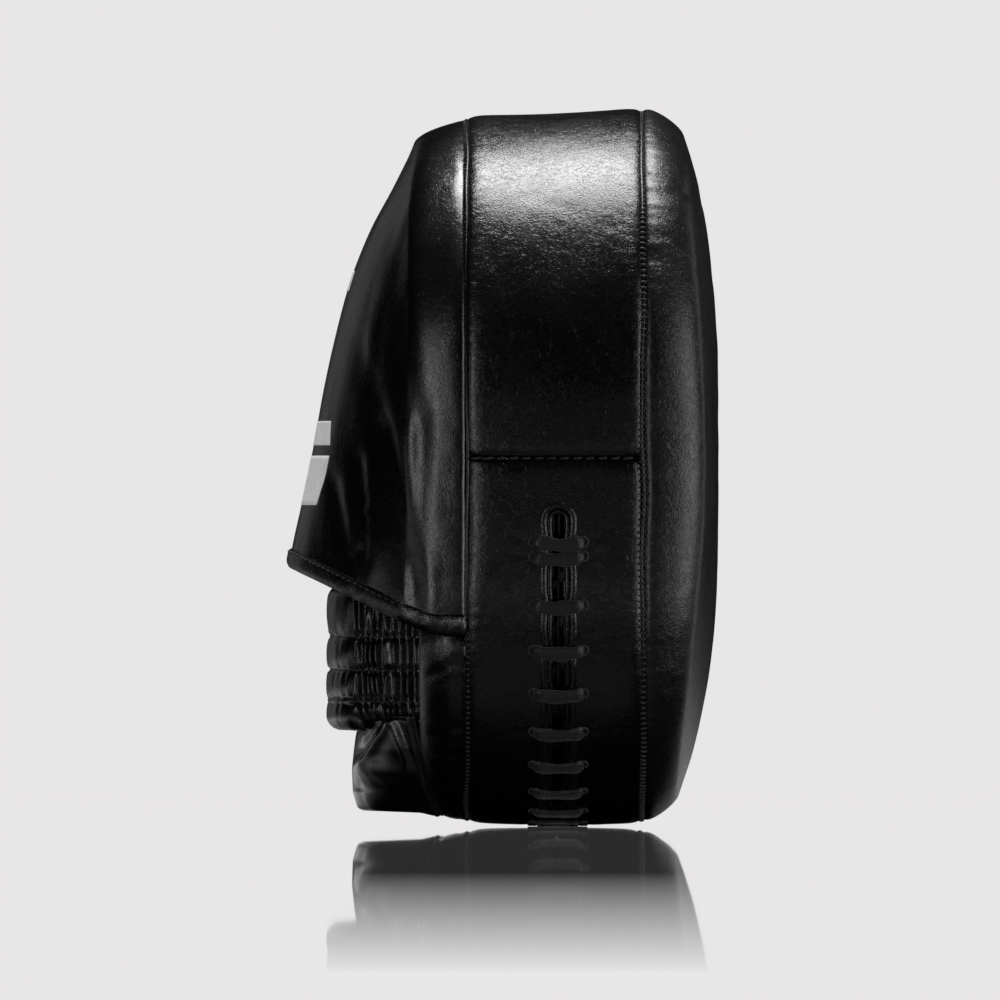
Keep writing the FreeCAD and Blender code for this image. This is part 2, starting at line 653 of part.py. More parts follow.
def wrist_strap():
    cover = padded_band("Strap", "strap_padding", "Sizes.strap_out",
                        "Sizes.strap_radius", "Sizes.strap_thick", "Sizes.strap_angle",
                        "Sizes.strap_bottom", "Sizes.strap_tall", "Sizes.strap_round")
    threads = []
    for n in (-1, 0, 1):
        middle = f"Sizes.channel_level + ({n}) * Sizes.channel_pitch"
        channel = arched_band(f"Channel{n + 2}", "Sizes.strap_out - 1", "Sizes.strap_radius + 1",
                              "Sizes.channel_depth + 1", "Sizes.strap_angle + Sizes.overrun_angle",
                              f"{middle} - Sizes.thread", "2 * Sizes.thread")
        cover = cut(f"StrapCut{n + 2}", cover, channel)
        threads.append(arched_band(
            f"Quilting{n + 2}", "Sizes.strap_out + Sizes.channel_depth - Sizes.thread",
            "Sizes.strap_radius - Sizes.channel_depth + Sizes.thread", "Sizes.thread",
            "Sizes.strap_angle", f"{middle} - Sizes.thread / 2", "Sizes.thread"))
    keep(cover, "wrist_strap")
    keep(group("StrapThreads", threads), "strap_thread")


def gores():
    """The two gathered side panels, each with three elastic strips behind it."""
    slant = "sqrt(0.5)"
    for side, name, turn in ((1, "left", 45), (-1, "right", -45)):
        def strip(label, inward, along, length, thick, low, tall):
            depth = f"({inward}) + ({thick})" if side > 0 else f"({inward})"
            x = f"Sizes.gore_x + ({depth} + {along}) * {slant}"
            y = f"({side}) * (Sizes.gore_y + ({along}) * {slant} - ({depth}) * {slant})"
            return block(label, (x, y, low), length, thick, tall, turn)
        keep(strip("Gore" + name, "0", "0", "Sizes.gore_long", "Sizes.gore_thick",
                   "Sizes.gore_bottom", "Sizes.gore_tall"), "gore_" + name)
        elastics = []
        for n in (-1, 0, 1):
            low = (f"Sizes.gore_bottom + (Sizes.gore_tall - Sizes.elastic_tall) / 2"
                   f" + ({n}) * Sizes.elastic_pitch")
            elastics.append(strip(f"Elastic{name}{n + 2}", "Sizes.gore_thick + Sizes.elastic_gap",
                                  "Sizes.elastic_margin", "Sizes.gore_long - 2 * Sizes.elastic_margin",
                                  "Sizes.elastic_thick", low, "Sizes.elastic_tall"))
        keep(group("Elastics" + name, elastics), "gore_elastics_" + name)


def cuff_skirt():
    cover = padded_band("Skirt", "skirt_padding", "Sizes.skirt_out",
                        "Sizes.skirt_radius", "Sizes.skirt_thick", "Sizes.skirt_angle",
                        "Sizes.skirt_bottom", "Sizes.skirt_tall", "Sizes.skirt_round")
    keep(cover, "cuff_skirt")
    cords = []
    for side, name in ((1, "Far"), (-1, "Near")):
        cord = doc.addObject("Part::Cylinder", "Piping" + name)
        cord.setExpression("Radius", "Sizes.piping_radius")
        cord.setExpression("Height", "Sizes.skirt_tall")
        cord.setExpression("Placement.Base.x", "Sizes.piping_x")
        cord.setExpression("Placement.Base.y", f"({side}) * Sizes.piping_y")
        cord.setExpression("Placement.Base.z", "Sizes.skirt_bottom")
        cords.append(cord)
    keep(group("Piping", cords), "skirt_piping")


# ---------------------------------------------------------------- what the hand meets inside

def inside_the_hood():
    grip = doc.addObject("PartDesign::Body", "PalmGrip")
    sketch = sketch_in(grip, "GripOutline", "YZ_Plane", "Sizes.inner_x - Sizes.grip_thick")
    level, radius = "Sizes.grip_level", "Sizes.grip_radius"
    sketch.addGeometry(Part.Circle(vector(0, value(level), 0), vector(0, 0, 1), value(radius)))
    sketch.addConstraint(Sketcher.Constraint("PointOnObject", 0, 3, -2))
    dimension(sketch, "DistanceY", -1, 1, 0, 3, size=level)
    dimension(sketch, "Radius", 0, size=radius)
    feature = pad(grip, sketch, "Sizes.grip_thick")
    fillet_edges(grip, feature, "Sizes.grip_round", at_x(value("Sizes.inner_x - Sizes.grip_thick")))
    keep(grip, "palm_grip")

    half, wall = "Sizes.sleeve_half", "Sizes.wall"
    depth = "Sizes.sleeve_depth"
    low = "Sizes.sleeve_bottom"
    outer = block("SleeveOut", (f"Sizes.inner_x - {depth}", f"-{half}", low),
                  depth, f"2 * {half}", "Sizes.sleeve_tall")
    inner = block("SleeveIn", (f"Sizes.inner_x - {depth} + {wall}", f"-({half} - {wall})", f"{low} - 1"),
                  f"{depth} - 2 * {wall}", f"2 * ({half} - {wall})", f"Sizes.sleeve_tall + 1 - {wall}")
    keep(cut("FingerSleeve", outer, inner), "finger_sleeve")

    depth, width, low = "Sizes.loop_depth", "Sizes.loop_width", "Sizes.loop_bottom"
    outer = block("LoopOut", (f"Sizes.inner_x - {depth}", "Sizes.loop_y", low),
                  depth, width, "Sizes.loop_tall")
    inner = block("LoopIn", (f"Sizes.inner_x - {depth} + {wall}", f"Sizes.loop_y + {wall}", f"{low} - 1"),
                  f"{depth} - 2 * {wall}", f"{width} - 2 * {wall}", "Sizes.loop_tall + 2")
    keep(cut("ThumbLoop", outer, inner), "thumb_loop")


def check_and_write():
    doc.recompute()
    for item in doc.Objects:
        if "Invalid" in item.State or "Error" in item.State:
            raise RuntimeError(f"{item.Label} failed: {item.State}")
    for piece in pieces:
        shape = piece.Shape
        if shape.isNull() or not shape.isValid() or not shape.Solids:
            raise RuntimeError(f"{piece.Label} has no valid solid")
    os.makedirs("parts", exist_ok=True)
    for piece in pieces:
        piece.Shape.exportStep(f"parts/{piece.Label}.step")
        box = piece.Shape.BoundBox
        print(f"{piece.Label:20} {len(piece.Shape.Solids)} solid(s) {piece.Shape.Volume / 1000:8.2f} cm3"
              f"  X {box.XMin:6.1f} {box.XMax:6.1f}  Y {box.YMin:6.1f} {box.YMax:6.1f}"
              f"  Z {box.ZMin:6.1f} {box.ZMax:6.1f}")


strike_side()
core_and_back()
gusset_and_lacing()
hood()
wrist_strap()
gores()
cuff_skirt()
inside_the_hood()
check_and_write()
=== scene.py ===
"""Focus mitt: the look of a black leather striking pad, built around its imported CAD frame.

Lengths below are millimetres, in the frame's own axes: +X is the strike face, +Z is up, and -Y
is the side that faces the camera.  A grid is an array of points (rows, columns, 3).  Every mesh is
made from such grids, and is scaled to metres when it becomes an object.
"""

import bmesh
import bpy
import numpy as np
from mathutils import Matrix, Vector
from numpy import (arange, array, clip, concatenate, cos, exp, hypot, interp, linspace, maximum,
                   minimum, pi, sign, sin, sqrt, tile, where)


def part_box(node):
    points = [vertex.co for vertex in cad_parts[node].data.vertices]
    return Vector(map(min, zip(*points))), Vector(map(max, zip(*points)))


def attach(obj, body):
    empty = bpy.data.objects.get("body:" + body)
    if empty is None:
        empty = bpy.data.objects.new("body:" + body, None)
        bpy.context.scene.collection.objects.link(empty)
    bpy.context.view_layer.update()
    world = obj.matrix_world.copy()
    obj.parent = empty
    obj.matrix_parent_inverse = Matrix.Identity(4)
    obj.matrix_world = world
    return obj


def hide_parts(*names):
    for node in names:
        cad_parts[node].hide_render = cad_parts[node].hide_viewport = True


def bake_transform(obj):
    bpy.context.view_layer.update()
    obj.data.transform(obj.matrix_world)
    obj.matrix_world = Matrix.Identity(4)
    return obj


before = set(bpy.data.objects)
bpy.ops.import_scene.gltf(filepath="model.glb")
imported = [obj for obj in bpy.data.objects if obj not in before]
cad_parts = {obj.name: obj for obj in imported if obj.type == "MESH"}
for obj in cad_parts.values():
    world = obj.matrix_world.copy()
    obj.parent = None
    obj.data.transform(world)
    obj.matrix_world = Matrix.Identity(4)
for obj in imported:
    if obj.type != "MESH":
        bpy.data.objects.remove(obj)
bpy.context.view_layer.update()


# ---- sizes, from the frame

def span(node, axis):
    """Where a CAD node starts and ends along an axis, in millimetres."""
    low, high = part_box(node)
    return low["xyz".index(axis)] * 1000, high["xyz".index(axis)] * 1000


def middle(node, axis):
    return sum(span(node, axis)) / 2


HALF = span("gusset_upper", "y")[1]  # half the pad's width, and its top radius
TALL = span("gusset_upper", "z")[1]
CORNER = 84.0  # radius of the two bottom corners
FLAT = HALF - CORNER  # half of the flat at the bottom
CREST = TALL - HALF  # level where the round top begins
BACK = middle("back_seam_welt", "x")  # X of the seam on the back
FRONT = middle("front_seam_welt", "x")  # X of the seam round the strike face
CROWN = span("strike_cover", "x")[1]  # X of the middle of the strike face
PLATE = span("back_cover", "x")[0]  # X of the flat back panel
JOINT = middle("gusset_joint_thread", "z")  # level where the gusset's bands meet
SLOT = middle("slot_binding", "x")  # X of the middle of the lacing slot
SLOT_TOP = span("slot_binding", "z")[1]
SLOT_HALF = (span("slot_binding", "x")[1] - span("slot_binding", "x")[0]) / 2 + 0.1
LACE_HALF = 8.4  # half the distance between facing eyelets
LACE_WIDE, LACE_THICK = 4.6, 1.75
QUARTER = CORNER * pi / 2
RIM = 2 * (FLAT + QUARTER + (CREST - CORNER) + HALF * pi / 2)
STITCH = 4.2  # distance between stitches
WELT_SINK = 2.3  # how far the back seam sinks at the crown
MIDDLE = (20, 0, 110)  # a point inside the pad
FACE_LEVEL, BACK_LEVEL = 122, 120  # levels where the rows of the two sides meet


def along_at(level):
    """Distance along the rim, from the bottom's middle, of the near side's point at a level."""
    return FLAT + QUARTER + (level - CORNER)


def rim(along, inset=0.0):
    """Y, Z and the outward normal on the pad's outline, at distances from the bottom's middle.
    The distance grows towards -Y, up that side, over the top and down the other side."""
    along = np.mod(np.asarray(along, float), RIM)
    far = along > RIM / 2
    d = where(far, RIM - along, along)
    corner = clip((d - FLAT) / CORNER, 0, pi / 2)
    rise = clip(d - FLAT - QUARTER, 0, CREST - CORNER)
    top = clip((d - FLAT - QUARTER - (CREST - CORNER)) / HALF, 0, pi / 2)
    turn = corner + top
    ny, nz = -sin(turn), -cos(turn)
    on_top = top > 0
    y = where(on_top, HALF * ny, -minimum(d, FLAT) + CORNER * where(corner > 0, ny, 0))
    z = where(on_top, CREST + HALF * nz, CORNER + rise + CORNER * nz)
    y, z = y - inset * ny, z - inset * nz
    return where(far, -y, y), z, where(far, -ny, ny), nz


def off_rim(along, x, height=0.0):
    """Points that stand off the pad's outline by height, and the outward directions there."""
    y, z, ny, nz = rim(along)
    return points(x, y + height * ny, z + height * nz), points(0, ny, nz)


def round_rim(count):
    """Distances along the rim, once round."""
    return linspace(0, RIM, count, endpoint=False)


def turns(count):
    """Angles, once round."""
    return linspace(0, 2 * pi, count, endpoint=False)


# ---- noise, folds, grids

def lattice(cell, seed):
    """A repeatable number from -1 to 1 for every whole-numbered cell."""
    mixed = cell[..., 0] * 73856093 ^ cell[..., 1] * 19349663 ^ cell[..., 2] * 83492791
    mixed = (mixed + seed * 7919) & 0xFFFFFFFF
    mixed = ((mixed ^ (mixed >> 13)) * 1274126177) & 0xFFFFFFFF
    return ((mixed ^ (mixed >> 16)) & 0xFFFF) / 32768 - 1


def noise(places, size, seed=0):
    """Smooth noise from -1 to 1, with bumps about size across.  size may differ per axis."""
    spot = np.asarray(places, float) / size + 0.37 * seed
    cell = np.floor(spot).astype(np.int64)
    part = spot - cell
    part = part * part * (3 - 2 * part)
    total = np.zeros(spot.shape[:-1])
    for corner in np.ndindex(2, 2, 2):
        weight = np.prod(where(array(corner) == 1, part, 1 - part), axis=-1)
        total += weight * lattice(cell + array(corner), seed)
    return total


def fold(a, b, start, end, width):
    """1 on the segment from start to end in the plane of a and b, fading to 0 beside it."""
    start, end = array(start, float), array(end, float)
    ahead = end - start
    length = np.linalg.norm(ahead)
    ahead /= length
    forward = (a - start[0]) * ahead[0] + (b - start[1]) * ahead[1]
    aside = (a - start[0]) * ahead[1] - (b - start[1]) * ahead[0]
    beyond = maximum(maximum(-forward, forward - length), 0)
    return exp(-(aside / width) ** 2 - (beyond / (2 * width)) ** 2)


def folds(a, b, table, wider=1.0):
    """The sum of a table of folds, each with its start, end, width and height."""
    return sum(high * fold(a, b, start, end, width * wider) for start, end, width, high in table)


def dip(distance, reach):
    """1 at a seam, falling to 0 within a few times reach."""
    return exp(-np.abs(distance) / reach)


def hump(distance, reach):
    """1 at a place, falling smoothly to 0 on both sides of it."""
    return exp(-(distance / reach) ** 2)


def smooth(x, low, high):
    """0 below low, 1 above high, and smooth between."""
    t = clip((x - low) / (high - low), 0, 1)
    return t * t * (3 - 2 * t)


def points(x, y, z):
    """One array of points from three arrays that broadcast together."""
    return np.stack(np.broadcast_arrays(x, y, z), axis=-1).astype(float)


def unit(arrows):
    return arrows / np.linalg.norm(arrows, axis=-1, keepdims=True)


def slope(grid, axis, ring):
    if ring:
        return np.roll(grid, -1, axis) - np.roll(grid, 1, axis)
    return np.gradient(grid, axis=axis)


OPEN, TUBE, LOOP = (False, False), (False, True), (True, True)  # whether rows, columns close up


def normals(grid, rings=OPEN):
    """Unit normals of a grid, turned away from the middle of the pad."""
    n = np.cross(slope(grid, 0, rings[0]), slope(grid, 1, rings[1]))
    n /= maximum(np.linalg.norm(n, axis=2, keepdims=True), 1e-9)
    return -n if np.sum(n * (grid - array(MIDDLE))) < 0 else n


def raised(grid, height, rings=OPEN):
    """A grid that stands off itself by a height at each of its points."""
    return grid + normals(grid, rings) * height[..., None]


def grid_faces(rows, columns, first, rings):
    """The quads of a grid whose points are numbered from first."""
    i = arange(rows if rings[0] else rows - 1)[:, None]
    j = arange(columns if rings[1] else columns - 1)[None, :]
    i2, j2 = (i + 1) % rows, (j + 1) % columns
    quads = [i * columns + j, i2 * columns + j, i2 * columns + j2, i * columns + j2]
    return np.stack(np.broadcast_arrays(*quads), axis=-1).reshape(-1, 4) + first


def add_object(name, data):
    obj = bpy.data.objects.new(name, data)
    bpy.context.scene.collection.objects.link(obj)
    return obj


def make(name, grids, rings, outside_of=MIDDLE, thick=0.0, weld=0.02, closed=False):
    """A smooth mesh object from grids in millimetres.  closed says that the grids enclose a
    solid.  Otherwise they are a sheet that looks away from outside_of, and thick grows it
    inwards."""
    grids = [grids] if isinstance(grids, np.ndarray) else grids
    faces, first = [], 0
    for grid in grids:
        faces.append(grid_faces(*grid.shape[:2], first, rings))
        first += grid.shape[0] * grid.shape[1]
    vertices = concatenate([grid.reshape(-1, 3) for grid in grids]) * 0.001
    mesh = bpy.data.meshes.new(name)
    mesh.from_pydata(vertices.tolist(), [], concatenate(faces).tolist())
    obj = add_object(name, mesh)
    tidy(mesh, weld, closed)
    if not closed:
        face_away(mesh, array(outside_of) * 0.001)
    if thick:
        thicken(obj, thick)
    for polygon in obj.data.polygons:
        polygon.use_smooth = True
    return obj


def tidy(mesh, weld, closed):
    """Join points that lie together, drop faces that have no area, and close up a solid."""
    work = bmesh.new()
    work.from_mesh(mesh)
    bmesh.ops.remove_doubles(work, verts=work.verts, dist=weld * 0.001)
    flat = [face for face in work.faces if face.calc_area() < 1e-12]
    bmesh.ops.delete(work, geom=flat, context="FACES")
    if closed:
        bmesh.ops.holes_fill(work, edges=[edge for edge in work.edges if edge.is_boundary])
        bmesh.ops.recalc_face_normals(work, faces=work.faces)
        if work.calc_volume(signed=True) < 0:
            bmesh.ops.reverse_faces(work, faces=work.faces)
    work.to_mesh(mesh)
    work.free()


def face_away(mesh, centre):
    """Turn an open sheet's faces so that they look away from centre."""
    count = len(mesh.polygons)
    middles, arrows = np.zeros(count * 3), np.zeros(count * 3)
    mesh.polygons.foreach_get("center", middles)
    mesh.polygons.foreach_get("normal", arrows)
    if np.sum((middles.reshape(-1, 3) - centre) * arrows.reshape(-1, 3)) < 0:
        mesh.flip_normals()


def thicken(obj, thick):
    """Give a sheet its thickness, inwards, as finished mesh."""
    modifier = obj.modifiers.new("Thickness", "SOLIDIFY")
    modifier.thickness, modifier.offset = thick * 0.001, -1
    bpy.context.view_layer.update()
    evaluated = obj.evaluated_get(bpy.context.evaluated_depsgraph_get())
    old, obj.data = obj.data, bpy.data.meshes.new_from_object(evaluated)
    obj.modifiers.clear()
    bpy.data.meshes.remove(old)
    obj.data.name = obj.name


# Bodies that move against the pad, each with the points where its soft pieces would start and stop
# following it.  Only the names are read here: a piece on such a body has its transform baked.
BLENDS = {
    "flex": ("hood", ((BACK - 0.4) * 0.001, 0, 0.15), (-0.050, 0, 0.15)),
    "stretch": ("strap", (-0.0300, 0, 0.056), (-0.0480, 0, 0.056)),
}


def dress(obj, nodes, finish, body):
    """Give a piece its finish and body, and let it stand for the CAD nodes that are named."""
    material, slot_name = finish
    obj.data.materials.append(material)
    if nodes:
        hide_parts(*nodes.split())
    if body in BLENDS:
        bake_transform(obj)
    else:
        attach(obj, body)
    return obj


def solid(name, grids, nodes, finish, body="pad", rings=TUBE):
    """A piece that its grids enclose."""
    return dress(make(name, grids, rings, closed=True), nodes, finish, body)


def panel(name, grids, nodes, finish, thick, body="pad", rings=OPEN, weld=0.02):
    """A piece made from an open sheet."""
    return dress(make(name, grids, rings, thick=thick, weld=weld), nodes, finish, body)


def sweep(path, out, width, thick, power=2.0, sides=14, ring=False):
    """A grid for a strip or tube along path: width lies across it, thick along out."""
    path, out = np.asarray(path, float), np.asarray(out, float)
    ahead = unit(slope(path, 0, ring))
    across = unit(np.cross(ahead, out))
    up = np.cross(across, ahead)
    angle = turns(sides)
    c, s = cos(angle), sin(angle)
    wide = sign(c) * np.abs(c) ** (2 / power)
    high = sign(s) * np.abs(s) ** (2 / power)
    width = np.broadcast_to(width, len(path))[:, None, None]
    thick = np.broadcast_to(thick, len(path))[:, None, None]
    grid = (path[:, None] + across[:, None] * wide[None, :, None] * width / 2
            + up[:, None] * high[None, :, None] * thick / 2)
    if ring:
        return grid
    first, last = path[:1, None], path[-1:, None]
    shrink = 0.6
    return concatenate([
        np.broadcast_to(first, (1, sides, 3)), first + (grid[:1] - first) * shrink, grid,
        last + (grid[-1:] - last) * shrink, np.broadcast_to(last, (1, sides, 3)),
    ])


def stitches(name, nodes, rows, length, thick=0.7, proud=0.35, body="pad"):
    """Rows of thread stitches, each row with its spots and the directions ahead and out.  Every
    stitch arches from end to end over its spot."""
    spots, ahead, out = (concatenate(part) for part in zip(*rows))
    steps = linspace(-1, 1, 9)
    grids = []
    for spot, forward, up in zip(spots, unit(ahead), out):
        rise = proud * (1 - np.abs(steps) ** 3) - 0.9 * np.abs(steps) ** 8
        path = spot + forward * (steps * length / 2)[:, None] + up * rise[:, None]
        swell = thick * (1 - 0.35 * np.abs(steps) ** 4)
        grids.append(sweep(path, tile(up, (len(steps), 1)), swell, swell, sides=8))
    return solid(name, grids, nodes, THREAD, body)


# ---- materials

class Shader:
    """A material's nodes, with short ways to add the usual ones."""

    def __init__(self, name, **constants):
        self.material = bpy.data.materials.new(name)
        self.material.use_nodes = True
        self.nodes = self.material.node_tree.nodes
        self.links = self.material.node_tree.links
        self.surface = self.nodes["Principled BSDF"]
        for socket, constant in constants.items():
            self.surface.inputs[socket.replace("_", " ")].default_value = constant
        self.place = self.nodes.new("ShaderNodeTexCoord").outputs["Object"]

    def add(self, kind, out, inputs=(), **settings):
        node = self.nodes.new("ShaderNode" + kind)
        for setting, value in settings.items():
            setattr(node, setting, value)
        for socket, value in dict(inputs).items():
            if isinstance(value, bpy.types.NodeSocket):
                self.links.new(value, node.inputs[socket])
            else:
                node.inputs[socket].default_value = value
        return node.outputs[out]

    def noise(self, scale, detail=3.0, rough=0.55, place=None):
        return self.add("TexNoise", "Fac", {
            "Vector": place or self.place, "Scale": scale, "Detail": detail, "Roughness": rough})

    def cells(self, scale, feature="F1", place=None):
        return self.add("TexVoronoi", "Distance", {
            "Vector": place or self.place, "Scale": scale}, feature=feature)

    def wave(self, scale, direction, distortion):
        return self.add("TexWave", "Fac", {
            "Vector": self.place, "Scale": scale, "Distortion": distortion},
            bands_direction=direction)

    def fit(self, value, low, high, to_low=0.0, to_high=1.0):
        return self.add("MapRange", "Result", {
            "Value": value, "From Min": low, "From Max": high,
            "To Min": to_low, "To Max": to_high})

    def maths(self, operation, a, b):
        return self.add("Math", "Value", {0: a, 1: b}, operation=operation)

    def blend(self, factor, first, second):
        return self.add("Mix", "Result", {
            "Factor": factor, "A": (*first, 1), "B": (*second, 1)}, data_type="RGBA")

    def bump(self, height, strength, depth, under=None):
        inputs = {"Height": height, "Strength": strength, "Distance": depth * 0.001}
        if under:
            inputs["Normal"] = under
        return self.add("Bump", "Normal", inputs)

    def wear(self, colour, roughness, normal):
        for socket, value in (("Base Color", colour), ("Roughness", roughness), ("Normal", normal)):
            self.links.new(value, self.surface.inputs[socket])
        return self.material


# Every finish below is a material and the name of the slot that it fills.

def leather(name, dark, light, gloss, grain=1.0, crease=1.0, pebble=1.1):
    """Black coated leather: pebbled grain, fine pores, soft creases, and worn lighter high spots."""
    s = Shader(name, Specular_IOR_Level=0.5, Coat_Weight=0.08, Coat_Roughness=0.22)
    warp = s.add("Mix", "Result", {
        "Factor": 0.03, "A": s.place,
        "B": s.add("TexNoise", "Color", {"Vector": s.place, "Scale": 180.0, "Detail": 2.0})},
        data_type="RGBA")
    pebbles = s.cells(1000 / pebble, "SMOOTH_F1", warp)
    pores = s.noise(2600, 2)
    lines = s.fit(s.cells(150, "DISTANCE_TO_EDGE", warp), 0.0, 0.10)
    crinkles = s.fit(s.cells(430, "DISTANCE_TO_EDGE", warp), 0.0, 0.30)
    patches = s.noise(38, 4, 0.6)
    worn = s.fit(patches, 0.35, 0.7)
    flecks = s.fit(s.noise(900, 2), 0.4, 0.75)
    colour = s.blend(s.maths("MULTIPLY", worn, flecks), dark, light)
    shine = s.fit(patches, 0.3, 0.7, gloss - 0.035, gloss + 0.045)
    shine = s.maths("ADD", shine, s.fit(pebbles, 0.2, 0.7, -0.03, 0.05))
    relief = s.bump(lines, 0.16 * crease, 0.12)
    relief = s.bump(s.noise(95, 3), 0.25 * crease, 0.5, relief)
    relief = s.bump(crinkles, 0.30 * grain, 0.16, relief)
    relief = s.bump(pebbles, 0.45 * grain, 0.13, relief)
    relief = s.bump(pores, 0.20 * grain, 0.05, relief)
    return s.wear(colour, shine, relief), "leather_black"


def woven(name, slot_name, dark, light, thread, gloss=0.75, relief=0.5):
    """Plain woven cloth or tape, with threads that cross every thread millimetres."""
    s = Shader(name, Sheen_Weight=0.25, Sheen_Roughness=0.5, Specular_IOR_Level=0.3)
    turns_each_metre = 1000 / thread / 6.2832
    x, y, z = (s.wave(turns_each_metre, axis, 0.4) for axis in "XYZ")
    weave = s.maths("MULTIPLY", s.maths("ADD", s.maths("ADD", x, y), z), 0.33)
    fuzz = s.noise(1500, 3)
    colour = s.blend(s.maths("MULTIPLY", weave, fuzz), dark, light)
    height = s.maths("ADD", weave, s.maths("MULTIPLY", fuzz, 0.4))
    return s.wear(colour, s.fit(fuzz, 0.3, 0.7, gloss - 0.08, gloss + 0.08),
                  s.bump(height, relief, 0.15)), slot_name


def thread_finish(name, dark, light):
    """Twisted sewing thread."""
    s = Shader(name, Sheen_Weight=0.2, Specular_IOR_Level=0.4)
    twist = s.wave(420, "DIAGONAL", 0.6)
    return s.wear(s.blend(twist, dark, light), s.fit(twist, 0, 1, 0.5, 0.68),
                  s.bump(twist, 0.5, 0.12)), "thread_black"


def foam(name, slot_name, dark, light, cell):
    """Cellular foam: open pores with a paler skin between them."""
    s = Shader(name, Subsurface_Weight=0.05, Specular_IOR_Level=0.25)
    pores = s.cells(1000 / cell)
    colour = s.blend(s.maths("MULTIPLY", pores, s.noise(60)), dark, light)
    return s.wear(colour, s.fit(s.noise(200), 0.3, 0.7, 0.79, 0.91),
                  s.bump(pores, 0.6, 0.4)), slot_name


def board_finish(name, dark, light):
    """Pressed fibre board with long faint fibres."""
    s = Shader(name, Specular_IOR_Level=0.3)
    stretched = s.add("Mapping", "Vector", {"Vector": s.place, "Scale": (1, 6, 1)})
    fibres = s.noise(300, 4, place=stretched)
    return s.wear(s.blend(fibres, dark, light), s.fit(fibres, 0.3, 0.7, 0.7, 0.85),
                  s.bump(fibres, 0.4, 0.2)), "board_tan"


def print_with_painted_glow(name, dark, light):
    """White transfer print that has taken on the leather's grain, with a faint painted glow from
    emission.
    """
    # painted glow: the print emits a little white light of its own
    s = Shader(name, Specular_IOR_Level=0.5, Emission_Color=(1, 1, 1, 1), Emission_Strength=0.22)
    grain = s.cells(700, "SMOOTH_F1")
    colour = s.blend(s.fit(s.noise(260, 4), 0.3, 0.5), dark, light)
    return s.wear(colour, s.fit(grain, 0.2, 0.7, 0.36, 0.46), s.bump(grain, 0.3, 0.1)), None


GUSSET_LEATHER = leather("Gusset leather", (0.002, 0.002, 0.0023), (0.005, 0.005, 0.0054), 0.27, 0.7)
FACE_LEATHER = leather("Strike face leather", (0.005, 0.005, 0.0055), (0.010, 0.010, 0.0105),
                       0.33, 0.8)
HOOD_LEATHER = leather("Hood leather", (0.003, 0.003, 0.0033), (0.006, 0.006, 0.0064),
                       0.24, 0.35, 0.8)
SOFT_LEATHER = leather("Binding leather", (0.005, 0.005, 0.0055), (0.012, 0.012, 0.0125),
                       0.25, 0.7, 1.2, 0.8)
# The piping's black leather has a lighter base colour than the other leathers: a painted highlight,
# so the cord reads as a lighter line
PIPING_PAINTED_HIGHLIGHT_LEATHER = leather("Piping leather with painted highlight", (0.012, 0.012, 0.0125), (0.028, 0.028, 0.029), 0.3, 0.6)
STRAP_LEATHER = leather("Cuff leather", (0.004, 0.004, 0.0045), (0.009, 0.009, 0.0095),
                        0.22, 0.3, 0.6, 0.9)
LACE = woven("Waxed lace", "leather_lace", (0.009, 0.009, 0.0095), (0.034, 0.034, 0.035),
             0.5, 0.38, 0.7)
THREAD = thread_finish("Bonded thread", (0.010, 0.010, 0.011), (0.035, 0.035, 0.037))
LINING = woven("Lining cloth", "lining_black", (0.010, 0.010, 0.012), (0.035, 0.035, 0.038), 0.7)
ELASTIC = woven("Elastic tape", "elastic_black", (0.012, 0.012, 0.013), (0.04, 0.04, 0.042),
                0.9, 0.7)
GREY_FOAM = foam("Grey foam", "foam_grey", (0.14, 0.145, 0.15), (0.30, 0.31, 0.32), 0.8)
CREAM_FOAM = foam("Latex foam", "latex_cream", (0.55, 0.47, 0.32), (0.78, 0.70, 0.52), 1.3)
BOARD = board_finish("Fibre board", (0.23, 0.15, 0.08), (0.42, 0.30, 0.18))
PRINT_WITH_PAINTED_GLOW = print_with_painted_glow("White print with painted glow", (0.62, 0.62, 0.62), (0.84, 0.84, 0.84))


# ---- the gusset round the pad

def crossings():
    """Distances along the rim of every crossing of the lace, as the CAD lace has them."""
    top = along_at(92)
    pitch = (top - 18.4) / 9
    near = [top + 2.4, top - 2.4] + [top - 18.4 - pitch * n for n in range(9)]
    return near + [0.0] + [RIM - along for along in reversed(near)]


CROSSINGS = crossings()


def seam_wobble(along, seed):
    """How far a sewn edge wanders along X, so that neighbours can follow it together."""
    y, z, _, _ = rim(along)
    return 0.7 * noise(points(seed * 40.0, y, z), 21, seed)


def gusset_height(along, x):
    """How far the gusset's leather stands out from the pad's outline."""
    y, z, _, nz = rim(along)
    u = clip((x - BACK) / (FRONT - BACK), 0, 1)
    place = points(x, y, z)
    top = maximum(nz, 0) ** 3
    height = -2.6 * (1 - u ** 2.2) * top + 0.7 * sin(pi * u) ** 0.8 * (1 - 0.8 * top)
    height = height - 1.7 * dip(x - BACK, 2.0) - 1.5 * dip(FRONT - x, 1.7)
    gather = 0.15 * cos(2 * pi * along / STITCH)
    for edge, seed in ((BACK, 3), (FRONT, 5)):
        height += dip(x - edge, 3.2) * gather * (0.6 + 0.4 * noise(place, 30, seed))
    joint = minimum(np.abs(along - along_at(JOINT)), np.abs(along - RIM + along_at(JOINT)))
    height += 0.30 * noise(place, 27, 1) + 0.08 * noise(place, 9, 2) - 1.2 * dip(joint, 1.5)
    height -= 1.1 * dip(x - BACK, 5.5) * smooth(z, 76, 96) * smooth(-z, -140, -120)
    height -= 0.9 * dip(FRONT - x, 7.0) * smooth(z, 40, 70) * smooth(-z, -140, -115)
    creases = (
        ((6, 209), (26, 204), 1.6, 0.05), ((24, 203), (42, 197), 1.8, 0.06),
        ((13, 224), (23, 227), 1.3, 0.05), ((28, 188), (43, 191), 1.8, 0.05),
        ((-9, 205), (-4, 188), 1.8, 0.05),
    )
    return height - where(y < 0, folds(x, z, creases), folds(x, z + 6, creases))


